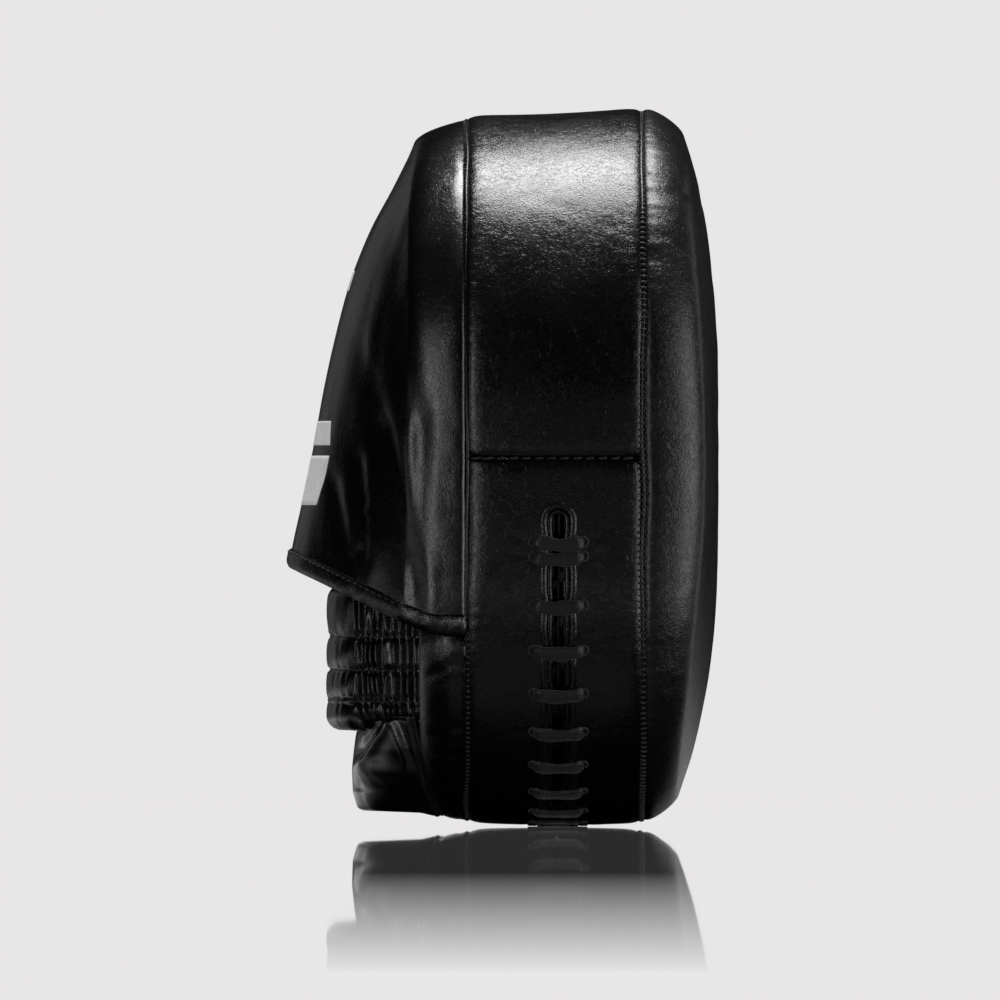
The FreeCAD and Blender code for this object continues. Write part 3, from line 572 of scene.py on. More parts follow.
def eyelet_pull(along, x):
    """Dimples and short puckers where the lace pulls the leather in at its eyelets."""
    height = 0.0
    for place in filter(None, CROSSINGS):
        for side in (-1, 1):
            across, up_seam = x - SLOT - side * (LACE_HALF + 0.6), along - place
            away = hypot(across, up_seam)
            turn = np.arctan2(up_seam, side * across)
            pucker = cos(6 * turn + place) * dip(away - 3.4, 2.6) * (side * across > 0)
            height = height - 0.30 * dip(away, 1.8) + 0.11 * pucker
    return height


def gusset_grid(along, count, low=None, high=None):
    """The leather from one edge of a panel to the other, with columns that crowd at both."""
    low = BACK + 0.35 + seam_wobble(along, 1) if low is None else low
    high = FRONT - 0.35 + seam_wobble(along, 2) if high is None else high
    t = linspace(0, 1, count)[None, :]
    x = low + (high - low) * (t - 0.09 * sin(2 * pi * t))
    return off_rim(along, x, gusset_height(along, x) + eyelet_pull(along, x))[0]


def gusset():
    """The upper band, and the lower one with the lacing slot cut into it."""
    joint, gap, thick = along_at(JOINT), 0.3, 2.0
    along = linspace(joint + gap, RIM - joint - gap, 300)[:, None]
    panel("gusset_upper_leather", gusset_grid(along, 52), "gusset_upper", GUSSET_LEATHER, thick)

    start = along_at(SLOT_TOP - SLOT_HALF)
    round_end = start + SLOT_HALF * sin(linspace(0, pi / 2, 9))
    side = concatenate([linspace(0, start, 140)[:-1], round_end,
                           linspace(round_end[-1], joint - gap, 15)[1:]])
    along = concatenate([-side[:0:-1], side])[:, None]
    into = clip((np.abs(along) - start) / SLOT_HALF, 0, 1)
    half = SLOT_HALF * sqrt(1 - into ** 2)
    grids = [gusset_grid(along, 30, high=SLOT - half), gusset_grid(along, 26, low=SLOT + half)]
    panel("gusset_lower_leather", grids, "gusset_lower", GUSSET_LEATHER, thick)


def seam_stitches():
    """Stitch rows: round the strike face, round the back, and across the joint between bands."""
    count = 2 * int(RIM / STITCH)
    along = (arange(count) + 0.5) * RIM / count
    _, z, ny, nz = rim(along)
    front = -1.05 - 0.72 * smooth(z, 196, 212)
    back = -1.35 - WELT_SINK * maximum(nz, 0) - 0.9 * smooth(z, 62, 68)
    for name, x, height, length, seed in (
        ("front_seam_stitches", FRONT, front, 2.0, 2), ("back_seam_stitches", BACK, back, 1.8, 1),
    ):
        spots, out = off_rim(along, x + seam_wobble(along, seed), height)
        lean = 0.25 * noise(spots, 5, seed)
        stitches(name, "", [(spots, points(1.0, -lean * nz, lean * ny), out)], length)

    x = arange(BACK + 3, FRONT - 2, STITCH)
    rows = []
    for joint in (along_at(JOINT), RIM - along_at(JOINT)):
        spots, out = off_rim(np.full_like(x, joint), x, -0.75)
        rows.append((spots, points(np.ones_like(x), 0, 0.12), out))
    stitches("joint_stitches", "gusset_joint_thread", rows, 3.0)


def welts():
    """The folded leather strips that fill the two seams, sunk between the panels."""
    along = round_rim(520)
    back = 2.2 + WELT_SINK * maximum(rim(along)[3], 0)
    for node, x, drop, seed in (
        ("front_seam_welt", FRONT, 1.9, 2), ("back_seam_welt", BACK, back, 1),
    ):
        path = off_rim(along, x + seam_wobble(along, seed), -drop)
        grid = sweep(*path, 1.3, 1.7, sides=10, ring=True)
        solid(node + "_strip", grid, node, FACE_LEATHER, rings=LOOP)


# ---- the lacing

def squeeze(along):
    """How strongly the lace pulls the slot together at a distance along the rim."""
    gap = np.abs(np.mod(along, RIM)[..., None] - array(CROSSINGS))
    return hump(minimum(gap, RIM - gap).min(axis=-1), 3.2)


def binding():
    """Two leather strips round the slot: one on its edge and one turned inside."""
    count = 330
    end = along_at(SLOT_TOP - SLOT_HALF)
    run = linspace(-end, end, count)
    turn = linspace(0, pi, 15)[1:-1]
    grids = []
    for half, width, height in ((5.0, 2.5, 0.15), (3.1, 1.9, -0.55)):
        bow = half * sin(turn)
        along = concatenate([run, end + bow, run[::-1], -end - bow])
        x = concatenate([np.full(count, half), half * cos(turn),
                            np.full(count, -half), -half * cos(turn)])
        x = SLOT + x * (1 - 0.13 * squeeze(along))
        height = height - 0.55 * squeeze(along) + 0.18 * noise(off_rim(along, x)[0], 6, 8)
        grids.append(sweep(*off_rim(along, x, height), width, width * 0.9, 2.3, 12, ring=True))
    solid("slot_binding_leather", grids, "slot_binding", SOFT_LEATHER, rings=LOOP)


def tongue():
    """The leather tongue under the lacing, folded lengthwise by the pull of the lace."""
    end = along_at(SLOT_TOP + 4)
    along = linspace(-end, end, 330)[:, None]
    x = linspace(-8.5, 8.5, 26)[None, :]
    place = off_rim(along, SLOT + x)[0]
    height = (-3.3 + 0.7 * cos(x * 1.9 + 1.2 * noise(place, 30, 4))
              + 0.5 * noise(place, (3, 9, 9), 6) - 0.12 * np.abs(x))
    grid = off_rim(along, SLOT + x, height)[0]
    panel("slot_tongue_leather", grid, "slot_tongue", SOFT_LEATHER, 1.0)


def lace():
    """Flat lace: a strand over the slot at every crossing, and slanting runs behind it."""
    grids = []
    a = linspace(-1.16, 1.16, 35)
    flat = 1 - clip((np.abs(a) - 0.70) / 0.46, 0, 1) ** 1.7
    for number, along in enumerate(CROSSINGS):
        fan = {0: 0.9, 1: -0.2}.get(min(number, len(CROSSINGS) - 1 - number), 0.0)
        side = -1 if along > RIM / 2 else 1
        wave = noise(points(a * 3, float(number), 0.0), 1.4, 12)
        sag = 0.2 * wave - side * 1.15 * (1 - a ** 2) + side * fan * clip(-a, 0, 1)
        pressed = 0.95 * smooth(-rim(along + sag)[1], -4.5, -0.5)
        height = (LACE_THICK - pressed) * flat - 2.9 * (1 - flat) - 0.25 * (1 - a ** 2) + 0.12 * wave
        width = LACE_WIDE * (0.50 + 0.50 * flat) * (1 - 0.12 * cos(a * 5 + number))
        grids.append(sweep(*off_rim(along + sag, SLOT + LACE_HALF * a, height),
                           width, LACE_THICK - 0.5 * pressed, 2.6, 20))
    t = linspace(0, 1, 9)
    for here, after in zip(CROSSINGS, CROSSINGS[1:]):
        here += RIM if after - here > RIM / 2 else 0
        x = SLOT + LACE_HALF * (1 - 2 * t)
        grids.append(sweep(*off_rim(here + (after - here) * t, x, -3.6), 3.0, 1.1, 2.6, 20))
    solid("lace_strands", grids, "lace", LACE)

    grids = []
    turn = turns(20)
    for along in CROSSINGS:
        for side in (-LACE_HALF, LACE_HALF):
            loop, x = along + 1.5 * sin(turn), SLOT + side * 1.02 + 1.2 * cos(turn)
            edge = off_rim(loop, x, gusset_height(loop, x) + 0.05)
            grids.append(sweep(*edge, 0.75, 0.75, sides=8, ring=True))
    solid("eyelet_stitching", grids, "", THREAD, rings=LOOP)


# ---- the strike face

def face_x(y, z):
    """X of the crowned strike face."""
    reach = hypot(y / (1.25 * HALF), (z - FACE_LEVEL) / 118)
    return CROWN - 15 * reach ** 3.3


def strike_rows(along, inset=0.0, rows=18):
    """The strike face as rows, from its seam over the rounded edge to the middle."""
    y, z, ny, nz = rim(along)
    side = ny ** 2
    wide, lean, power = 9 - side, 3.6 * side, 1.75 + 1.05 * side
    grid = []
    for angle in linspace(0, pi / 2, rows):
        share = sin(angle) ** (2 / power)
        inward = wide * (1 - cos(angle) ** (2 / power)) + lean * share + inset
        ry, rz = y - inward * ny, z - inward * nz
        grid.append(points(FRONT + share * (face_x(ry, rz) - inset - FRONT), ry, rz))
    for share in linspace(0, 1, 46)[1:] ** 0.9:
        ry = (y - (wide + lean + inset) * ny) * (1 - share)
        rz = (z - (wide + lean + inset) * nz) * (1 - share) + FACE_LEVEL * share
        grid.append(points(face_x(ry, rz) - inset, ry, rz))
    return array(grid)


def strike_face():
    """The strike face's leather, gathered and faintly creased along its seam."""
    along = round_rim(600)
    grid = strike_rows(along)
    x, y, z = np.moveaxis(grid, -1, 0)
    from_seam = np.linalg.norm(grid - grid[:1], axis=2)
    height = -1.5 * dip(from_seam, 1.6)
    height += 0.13 * dip(from_seam, 3.4) * cos(2 * pi * along / STITCH)
    height += 0.30 * noise(grid, 30, 21) + 0.10 * noise(grid, 8, 22)
    shoulder = hump(z - 203, 13) * smooth(np.abs(y), 45, 75)
    fan = 0.26 * shoulder * noise(points(x * 0.16, y * 0.5, z), 3.4, 23)
    height += hump(from_seam, 17) * (fan + 0.16 * noise(points(x * 0.14, y, z), 4.2, 24))
    height -= folds(x, z, (
        ((FRONT, 217), (64, 209), 2.2, 0.40), ((FRONT, 211), (60, 210), 1.6, 0.30),
        ((FRONT, 190), (66, 184), 3.4, 0.35),
    ))
    grid = raised(grid, height, TUBE)
    grid[..., 0] += (0.35 + seam_wobble(along, 2)[None, :]) * (1 - smooth(from_seam, 0, 6))
    panel("strike_cover_leather", grid, "strike_cover", FACE_LEATHER, 2.0, rings=TUBE)


# ---- the filling

BACK_FOAM = (-24.5, -14.2)  # X of the back foam, clear of the cover's seam


def filling():
    """The foam and board layers: the outline, set in, with soft corners and crowned sides."""
    along = round_rim(240)
    gap = 0.1  # between one layer and the next, at each side
    for name, node, inset, drop, soft, finish in (
        ("impact_foam_slab", "impact_foam", 7.4, 0, 2.5, GREY_FOAM),
        ("latex_slab", "latex_layer", 5.6, 1, 2.0, CREAM_FOAM),
        ("stiffener_sheet", "stiffener_board", 8.0, 6, 0.9, BOARD),
        ("back_foam_slab", "back_foam", 14.0, 6, 3.0, GREY_FOAM),
    ):
        start, end = BACK_FOAM if node == "back_foam" else span(node, "x")
        y, z, ny, nz = rim(along, inset)
        z = z - drop * smooth(z, 60, 200)
        halves = []
        for x, turned in ((start + gap, 1), (end - gap, -1)):
            rows = []
            for share in linspace(0, 1 - soft / HALF, 8):
                rz = BACK_LEVEL + (z - soft * nz - BACK_LEVEL) * share
                rows.append(points(x, (y - soft * ny) * share, rz))
            for angle in linspace(0, pi / 2, 5):
                pull = soft * (1 - sin(angle))
                rise = turned * soft * (1 - cos(angle))
                rows.append(points(x + rise, y - pull * ny, z - pull * nz))
            halves.append(rows)
        solid(name, array(halves[0] + halves[1][::-1]), node, finish)

    start = span("impact_foam", "x")[1] + gap
    y, z, _, _ = rim(along, 4.6)
    back = [points(start, y * share, FACE_LEVEL + (z - FACE_LEVEL) * share)
            for share in linspace(0, 1, 7)]
    grid = concatenate([back, strike_rows(along, inset=3.4, rows=8)])
    solid("strike_foam_slab", grid, "strike_foam", GREY_FOAM)


# ---- the hood over the hand

HOOD_EDGE = BACK - 0.7
SEAM_LOW = 63.8  # level of the hem's two corners
ROLL = 13.9  # how far the hood stands off at its rounded edge
HOOD_DEEP = 59.0  # how far its middle line stands off at the hem
HEM_START = FLAT + CORNER * np.arccos((CORNER - SEAM_LOW) / CORNER)  # near corner, on the rim
HOOD_RUN = RIM - 2 * HEM_START  # length of the hood's seam
BAND = 6.4  # height of the hem band


def hem_rise(depth):
    """How much higher the hem is at a depth: level over the rolled edge, then a steady climb."""
    knee, climb, ease = 11.5, 0.47, 2.5
    return climb * ease * np.log1p(exp((depth - knee) / ease))


CORE_LOW, CORE_HIGH = SEAM_LOW + hem_rise(HOOD_DEEP), 150.0  # levels on the middle line


def profile(level):
    """How far the hood's middle line stands off the seam at each level."""
    levels = (60, 88, 103, 116, 150, 170, 184, 194, 206, 219, 231, 240)
    depths = (61.5, 59.2, 55.6, 52.4, 46.8, 42.0, 38.0, 34.4, 28.2, 20.6, 15.0, 13.9)
    shifts = (0, -3, 3, -6, 6, -9, 9)
    return sum(interp(level + shift, levels, depths) for shift in shifts) / len(shifts)


def half_width(level):
    """Half width of the pad's outline at a level."""
    level = clip(level, 0.5, TALL - 0.5)
    low = FLAT + sqrt(maximum(CORNER ** 2 - (CORNER - minimum(level, CORNER)) ** 2, 0))
    high = sqrt(maximum(HALF ** 2 - (maximum(level, CREST) - CREST) ** 2, 1))
    return where(level > CREST, high, low)


def inset_at(y, z):
    """Distance inwards from the pad's outline to a point of the YZ plane."""
    top = HALF - hypot(y, z - CREST)
    side = HALF - np.abs(y)
    low = CORNER - hypot(maximum(np.abs(y) - FLAT, 0), z - CORNER)
    return where(z > CREST, top, where(z > CORNER, side, low))


def crown_share(z):
    """How near a level is to the crown of the pad: 0 at the sides and 1 at the top."""
    return clip((z - CREST) / HALF, 0, 1) ** 3


def hood_depth(y, z):
    """How far the hood stands off its seam: a firm roll along the edge, then a soft dome."""
    wide = 8.4 + 5.0 * crown_share(z)
    edge = ROLL * sin(pi / 2 * clip(inset_at(y, z) / wide, 0, 1)) ** 1.35
    away = clip(np.abs(y) / half_width(z), 0, 1)
    dome = cos(pi / 2 * away) ** 0.92
    return edge + maximum(profile(z) - ROLL, 0) * dome


def hood_at(y, z, lift=0.0):
    """Points of the finished hood over places of the YZ plane, stood off by lift."""
    y, z = np.broadcast_arrays(np.asarray(y, float), np.asarray(z, float))
    step = 0.2
    across = (hood_depth(y + step, z) - hood_depth(y - step, z)) / (2 * step)
    upward = (hood_depth(y, z + step) - hood_depth(y, z - step)) / (2 * step)
    out = unit(points(-1.0, -across, -upward))
    drop = 2.4 * crown_share(z) * hump(inset_at(y, z), 7)
    base = points(HOOD_EDGE - hood_depth(y, z), y, z - drop)
    return base + out * (hood_relief(base) + lift)[..., None], out


def hood_places(rise, share):
    """Y and Z over which the hood lies.  rise is the distance along its seam from the near
    corner of the hem, and share runs from 0 at the seam to 1 on the middle line."""
    y0, z0, _, _ = rim(HEM_START + rise)
    lift = clip((z0 - SEAM_LOW) / (TALL - SEAM_LOW), 0, 1)
    core = CORE_LOW + (CORE_HIGH - CORE_LOW) * (1 - (1 - lift) ** 2.85)
    y = y0 * (1 - share)
    z = straight = z0 * (1 - share) + core * share
    bend = 1 - smooth(z0, SEAM_LOW + 4, SEAM_LOW + 70)
    for _ in range(4):
        z = straight + bend * (hem_rise(hood_depth(y, z)) - (CORE_LOW - SEAM_LOW) * share)
    return y, z


HOOD_FOLDS = (
    ((-36, 193), (-31, 140), 4.0, 0.45),  # the faint upright fold behind the roll
    ((-48, 158), (-40, 130), 4.2, 0.8),
    ((-40, 130), (-31, 84), 4.0, 1.7),  # the strong slanting fold down to the hem
    ((-49, 120), (-47, 90), 2.8, 1.1),
    ((-57, 112), (-52, 88), 3.0, 1.0),
    ((-24, 96), (-20, 74), 3.0, 0.35),
    ((-27, 134), (-29, 72), 3.4, 0.8),  # the hollow beside the roll
)


def hood_relief(grid):
    """Soft folds of the hood's leather with a ridge beside each, as heights along its normals."""
    x, y, z = np.moveaxis(grid, -1, 0)
    from_seam = np.abs(x - HOOD_EDGE)
    height = 0.55 * noise(grid, 34, 31) + 0.22 * noise(grid, (9, 9, 22), 32)
    for side, shift in ((-1, 0), (1, 7)):
        valleys = folds(x, z - shift, HOOD_FOLDS)
        ridges = 0.5 * folds(x - 4.2, z - shift, HOOD_FOLDS, 1.2)
        height += smooth(side * y, 8, 30) * (ridges - valleys)
    crinkle = hump(x + 47, 5) * smooth(-z, -128, -100)
    height += 0.5 * crinkle * noise(grid, (7, 7, 3.4), 33)
    height *= smooth(from_seam, 2, 14)
    return height + 0.20 * dip(from_seam, 3.0) * noise(grid, (3, 4, 4), 34)


def hood():
    """The hood's leather, sunk into its seam, and the lining that follows it inside."""
    rise = linspace(0, HOOD_RUN, 330)[:, None]
    share = concatenate([linspace(0, 0.13, 18)[:-1], linspace(0.13, 1, 62)])[None, :]
    grid, out = hood_at(*hood_places(rise, share))
    _, _, ny, nz = rim(HEM_START + rise)
    sunk = dip(grid[..., 0] - HOOD_EDGE, 2.0) * (1.2 + 1.1 * maximum(nz, 0))
    grid[..., 1] -= sunk * ny
    grid[..., 2] -= sunk * nz
    panel("hood_leather", grid, "hood", HOOD_LEATHER, 1.3, "flex", weld=0.05)

    inner = (grid - out * 1.75)[::2, ::2][2:-2]
    inner[..., 0] = minimum(inner[..., 0], HOOD_EDGE - 0.3)
    obj = panel("hood_lining_cloth", inner, "hood_lining", LINING, 0.6, "flex", weld=0.05)


def hem_row(rise, lift):
    """A line along the hem, from the near seam over the middle to the far seam."""
    share = linspace(0, 1, 150) ** 1.35
    near, near_out = hood_at(*hood_places(np.full(150, rise), share))
    far, far_out = hood_at(*hood_places(np.full(149, HOOD_RUN - rise), share[-2::-1]))
    return concatenate([near, far]) + concatenate([near_out, far_out]) * lift


def hem():
    """The folded band along the hem, and its stitches."""
    rises = (0.0, 0.25, 0.9, 2.0, 3.4, 4.8, 5.7, 6.15, BAND)
    outer = [hem_row(rise, 0.2 + 0.95 * (1 - abs(2 * rise / BAND - 1) ** 4)) for rise in rises]
    inner = [hem_row(rise, -2.4) for rise in (BAND - 0.4, 3.2, 0.4)]
    grid = array(outer + inner)
    grid[0, :, 2] -= 0.4
    grid[-1, :, 2] -= 0.3
    solid("hood_hem_band", grid, "hood_hem", SOFT_LEATHER, "flex", rings=(True, False))

    line = hem_row(BAND - 1.1, 0.75)
    run = concatenate([[0], np.cumsum(np.linalg.norm(np.diff(line, axis=0), axis=1))])
    at = arange(3, run[-1] - 3, 3.9)
    spots, after = (np.stack([interp(at + step, run, line[:, k]) for k in range(3)], axis=1)
                    for step in (0, 0.8))
    out = unit(spots * (1, 1, 0) + (10, 0, 0))
    stitches("hem_stitches", "hem_thread", [(spots, after - spots, out)], 2.9, 0.5, body="flex")


def stripes():
    """Plain white bars printed across the hood's back, laid on its surface."""
    grids = []
    for low, high, reach, slant in ((126.5, 134.6, 37, -0.4), (106.5, 123.0, 34, 0.25),
                                    (178.5, 185.0, 8, 0.3)):
        z = linspace(low, high, 14)[:, None]
        y = linspace(-1, 1, 90)[None, :] * (reach + slant * (z - low))
        grids.append(hood_at(y, z, 0.16)[0])
    panel("hood_print", grids, "", PRINT_WITH_PAINTED_GLOW, 0.25, "flex")


# ---- the back of the pad

def back_panel():
    """The back cover: a plump roll along the seam that turns into the flat palm side."""
    y, z, ny, nz = rim(round_rim(520))
    base = 0.9 + 4.6 * smooth(z, 56, 70) + 2.0 * maximum(nz, 0)
    wide, seam = 13.0, BACK - 0.45
    grid = []
    for angle in linspace(0, pi / 2, 16):
        inward = base + wide * (1 - cos(angle))
        x = seam - (seam - PLATE) * sin(angle) ** 0.95
        grid.append(points(x, y - inward * ny, z - inward * nz))
    y, z = y - (base + wide) * ny, z - (base + wide) * nz
    for share in linspace(0, 1, 34)[1:]:
        grid.append(points(PLATE, y * (1 - share), z * (1 - share) + BACK_LEVEL * share))
    grid = array(grid)
    from_seam = np.linalg.norm(grid - grid[:1], axis=2)
    height = -1.0 * dip(from_seam, 1.6) + 0.28 * noise(grid, 24, 41) + 0.10 * noise(grid, 7, 42)
    height += 0.34 * hump(from_seam - 6, 7) * noise(grid * (0.35, 1, 1), 3.6, 43)
    height -= folds(grid[..., 0], grid[..., 2], (
        ((-14, 55), (-24, 50), 1.2, 0.7), ((-14, 49), (-22, 47), 1.1, 0.5),
        ((-14, 33), (-23, 30), 1.3, 0.45),
    ))
    height *= smooth(from_seam, 0, 1.2) * (1 - smooth(from_seam, 40, 60))
    grid = raised(grid, height, TUBE)
    grid[..., 0] = maximum(grid[..., 0], PLATE - 0.1)
    panel("back_cover_leather", grid, "back_cover", GUSSET_LEATHER, 1.8, rings=TUBE)


# ---- the cuff

STRAP_OUT = span("wrist_strap", "x")[0] + 0.7
CHANNELS = (41.0, 51.4, 62.5)  # levels of the strap's and gores' stitch lines
COS_45 = sqrt(0.5)


def channel_puff(level, low, high, depth):
    """Height of quilted padding between stitch lines: full between them and nipped at them."""
    edges = (low, *CHANNELS, high)
    puff = np.zeros_like(level)
    for a, b in zip(edges, edges[1:]):
        t = clip((level - a) / (b - a), 0, 1)
        inside = (level >= a) & (level <= b)
        puff = where(inside, depth * sin(pi * t) ** 0.55, puff)
    return maximum(puff, 0.75 * depth * dip(level - CHANNELS[0], 3.0))


def at_channels(level, reach):
    """1 on a stitch line, falling to 0 beside it."""
    return sum(hump(level - line, reach) for line in CHANNELS)


def wrist_strap():
    """The quilted elastic strap: a padded section swept round the wrist side."""
    low, high, deep = 31.2, 79.5, 7.2
    radius, half = 84.0, np.radians(27.5)
    centre = STRAP_OUT + radius
    front_rows = 80
    levels = concatenate([linspace(low, high, front_rows), linspace(high, low, 34)])
    outer = arange(len(levels)) < front_rows
    end = minimum(levels - low, high - levels)
    full = sqrt(1 - (1 - clip(end / 4.2, 0, 1)) ** 2)
    puff = channel_puff(levels, low, high, 1.5)
    front = -1.5 + puff * full - 2.2 * (1 - full)
    back = -deep + 2.0 * (1 - full) - 0.5 * puff
    angle = linspace(-half, half, 110)[:, None]
    taper = 1 - smooth(np.abs(angle), half * 0.86, half) * 0.62
    reach = radius - deep / 2 + (where(outer, front, back)[None, :] + deep / 2) * taper
    z = np.broadcast_to(levels[None, :], reach.shape)
    grid = points(centre - reach * cos(angle), reach * sin(angle), z)
    place = points(angle * radius, z, outer * 30.0)
    wrinkle = 0.26 * noise(place, (3.0, 9, 30), 51) + 0.20 * noise(place, (9, 14, 30), 52)
    clear = np.abs(z - array(CHANNELS)[:, None, None]).min(0) > 0.8
    wrinkle *= 0.5 + 1.3 * at_channels(z, 3.2) * clear
    grid = raised(grid, wrinkle * outer[None, :] + 0.1, TUBE)
    solid("wrist_strap_cover", grid, "wrist_strap strap_padding", STRAP_LEATHER, "strap")

    at = arange(-half * 0.94, half * 0.94, 3.6 / radius)
    reach = radius - 1.65
    rows = [(points(centre - reach * cos(at), reach * sin(at), level),
             points(sin(at), cos(at), 0.0), points(-cos(at), sin(at), 0.0))
            for level in CHANNELS]
    stitches("strap_stitches", "strap_thread", rows, 2.7, 0.6, body="strap")


def gore(side, name):
    """A gathered elastic panel between the strap and the back cover."""
    length, low, high, bow = 32.0, 34.5, 79.0, 2.6

    def at(run, level, height):
        """A point at a distance from the strap's end, standing off the straight line."""
        return points(-50.5 + run * COS_45 - height * COS_45,
                      (36.0 + run * COS_45 + height * COS_45) * side, level)

    along = linspace(0, 1, 100)[:, None]
    level = linspace(low, high, 96)[None, :]
    run = along * length
    nip = clip(at_channels(level, 1.5), 0, 1)
    shift = 0.55 * noise(points(run, level, side * 9.0), (9, 12, 9), 61)
    row = np.searchsorted(CHANNELS, level).astype(float)
    shift = shift + 0.9 * noise(points(run, row * 7.0, side * 4.0), (7, 3, 9), 64)
    phase = (run + 1.4 * shift + 0.03 * (level - 50)) * 2 * pi / 3.1
    ruck = sign(cos(phase)) * np.abs(cos(phase)) ** 0.75
    uneven = 0.70 + 0.85 * noise(points(run, level, side * 3.0), (4.5, 9, 6), 62)
    ruck = ruck * (0.30 + 0.95 * (1 - nip)) * clip(uneven, 0.08, 1.5)
    bulge = 0.75 + 0.25 * sin(pi * (level - low) / (high - low))
    height = bow * sin(pi * along) * bulge - 0.9 * nip
    height += ruck * smooth(along, 0, 0.07) * smooth(-along, -1.0, -0.93)
    height += 0.3 * noise(points(run, level, side * 5.0), (2.2, 5, 3), 63)
    height -= 2.2 * dip(level - low, 1.6)
    grid = at(run, level, height)
    obj = panel(f"gore_{name}_leather", grid, f"gore_{name}", STRAP_LEATHER, 0.9, "stretch")

    t = linspace(0.10, 0.92, 60)
    height = bow * sin(pi * t) - 3.6 + 0.25 * cos(t * 60)
    out = array([[-COS_45, COS_45 * side, 0.0]])
    strips = [sweep(at(t * length, line, height), tile(out, (len(t), 1)), 6.0, 1.0, 5.0, 20)
              for line in (43.5, 57.0, 70.0)]
    solid(f"gore_{name}_elastics", strips, f"gore_elastics_{name}", ELASTIC, "stretch")

    run = arange(1.2, length - 2.0, 3.3)
    height = bow * sin(pi * run / length) - 0.35
    ahead = tile([COS_45, COS_45 * side, 0.0], (len(run), 1))
    rows = [(at(run, line, height), ahead, tile(out, (len(run), 1))) for line in CHANNELS]
    stitches(f"gore_{name}_stitches", "", rows, 2.4, 0.6, body="stretch")


def skirt_edge(v):
    """Where the skirt is sewn to the back panel, v from 0 at the bottom to 1 at the top."""
    x = interp(v, (0, 0.34, 0.67, 1), (-21.4, -25.8, -28.6, -31.0))
    y = interp(v, (0, 0.34, 0.67, 1), (36.5, 49.8, 57.5, 60.5))
    return x, y, 2.6 + 33.2 * v


def skirt_point(across, v):
    """The skirt's outside: a flared apron from one sewn edge to the other."""
    x0, y0, z0 = skirt_edge(v)
    out = interp(v, (-0.05, 0.05, 0.2, 0.45, 0.8, 1.05),
                    (-48.4, -49.3, -50.6, -50.8, -49.4, -47.2))
    t = np.abs(across)
    curve = (1 - t ** 2.3) ** 0.85
    y = sign(across) * y0 * (1 - (1 - t) ** 1.25)
    hang = 1.12 * (1 - t ** 2) * (1 - v)
    return points(x0 + (out - x0) * curve, y, z0 + hang)


def skirt_relief(grid):
    """Creases that meet below the strap's end, and the ridge between them."""
    x, y, z = np.moveaxis(grid, -1, 0)
    height = 0.45 * noise(grid, 15, 71) + 0.2 * noise(grid, (5, 5, 9), 72)
    return height + smooth(np.abs(y), 6, 16) * folds(x, z, (
        ((-47.5, 25), (-40.0, 36), 1.5, -1.5), ((-46.0, 22), (-38.5, 35), 1.7, 1.1),
        ((-38.5, 36), (-31.5, 20), 1.5, 1.1), ((-36.5, 36), (-29.5, 21), 1.2, -1.0),
        ((-45.0, 19), (-35.0, 17), 3.6, 1.5), ((-47.0, 12), (-34.0, 10), 3.0, -0.9),
    ))


def cuff_skirt():
    """The padded apron below the strap, with its piping."""
    across = linspace(-1, 1, 150)[:, None]
    v = linspace(0, 1, 60)
    grid = skirt_point(across, v[None, :])
    edge = minimum(v, 1 - v)[None, :] * 34
    round_off = sqrt(1 - (1 - clip(edge / 2.2, 0, 1)) ** 2)
    side = smooth(1 - np.abs(across), 0, 0.10)
    height = skirt_relief(grid) * side * round_off - 1.9 * (1 - round_off)
    depth = (0.7 + 3.4 * side) * (0.35 + 0.65 * round_off) - 0.3
    loop = concatenate([raised(grid, height), raised(grid, -depth)[:, ::-1]], axis=1)
    solid("cuff_skirt_cover", loop, "cuff_skirt skirt_padding", STRAP_LEATHER)

    v = linspace(0.02, 1.02, 60)
    x, y, z = skirt_edge(v)
    grids = []
    for way in (-1, 1):
        path = points(x - 0.5, way * (y + 0.6), z)
        out = tile([-0.7, 0.7 * way, 0.0], (len(v), 1))
        flange = path + out * (-1.62, 1.08, 0)
        grids.append(sweep(path, out, 2.3, 2.3, sides=12))
        grids.append(sweep(flange, out, 2.0, 0.9, 3.0, sides=12))
    solid("skirt_piping_cord", grids, "skirt_piping", PIPING_PAINTED_HIGHLIGHT_LEATHER)


# ---- what the hand meets inside

def palm_grip():
    """The stuffed ball that the palm holds, with its seam ring."""
    low, high = span("palm_grip", "x")
    radius, level = 22.0, 112.0
    angle = turns(96)[None, :]
    lift = linspace(0, 1, 26)[:, None]
    reach = radius * sqrt(1 - lift ** 2.4)
    x = high - 0.2 - (high - low - 0.4) * lift ** 0.9 * (1 - 0.02 * cos(6 * angle))
    grid = points(x, reach * cos(angle), level + reach * sin(angle))
    grid = raised(grid, 0.3 * noise(grid, 7, 81), TUBE)
    base = points(high - 0.2, 0 * angle, level)
    solid("palm_grip_cover", concatenate([base, grid]), "palm_grip", SOFT_LEATHER)

    turn = turns(44)
    y, z = cos(turn), sin(turn)
    ring = points(high - 0.9, (radius + 0.2) * y, level + (radius + 0.2) * z)
    stitches("palm_grip_stitches", "", [(ring, points(0, -z, y), points(-0.7, y, z))], 2.2)


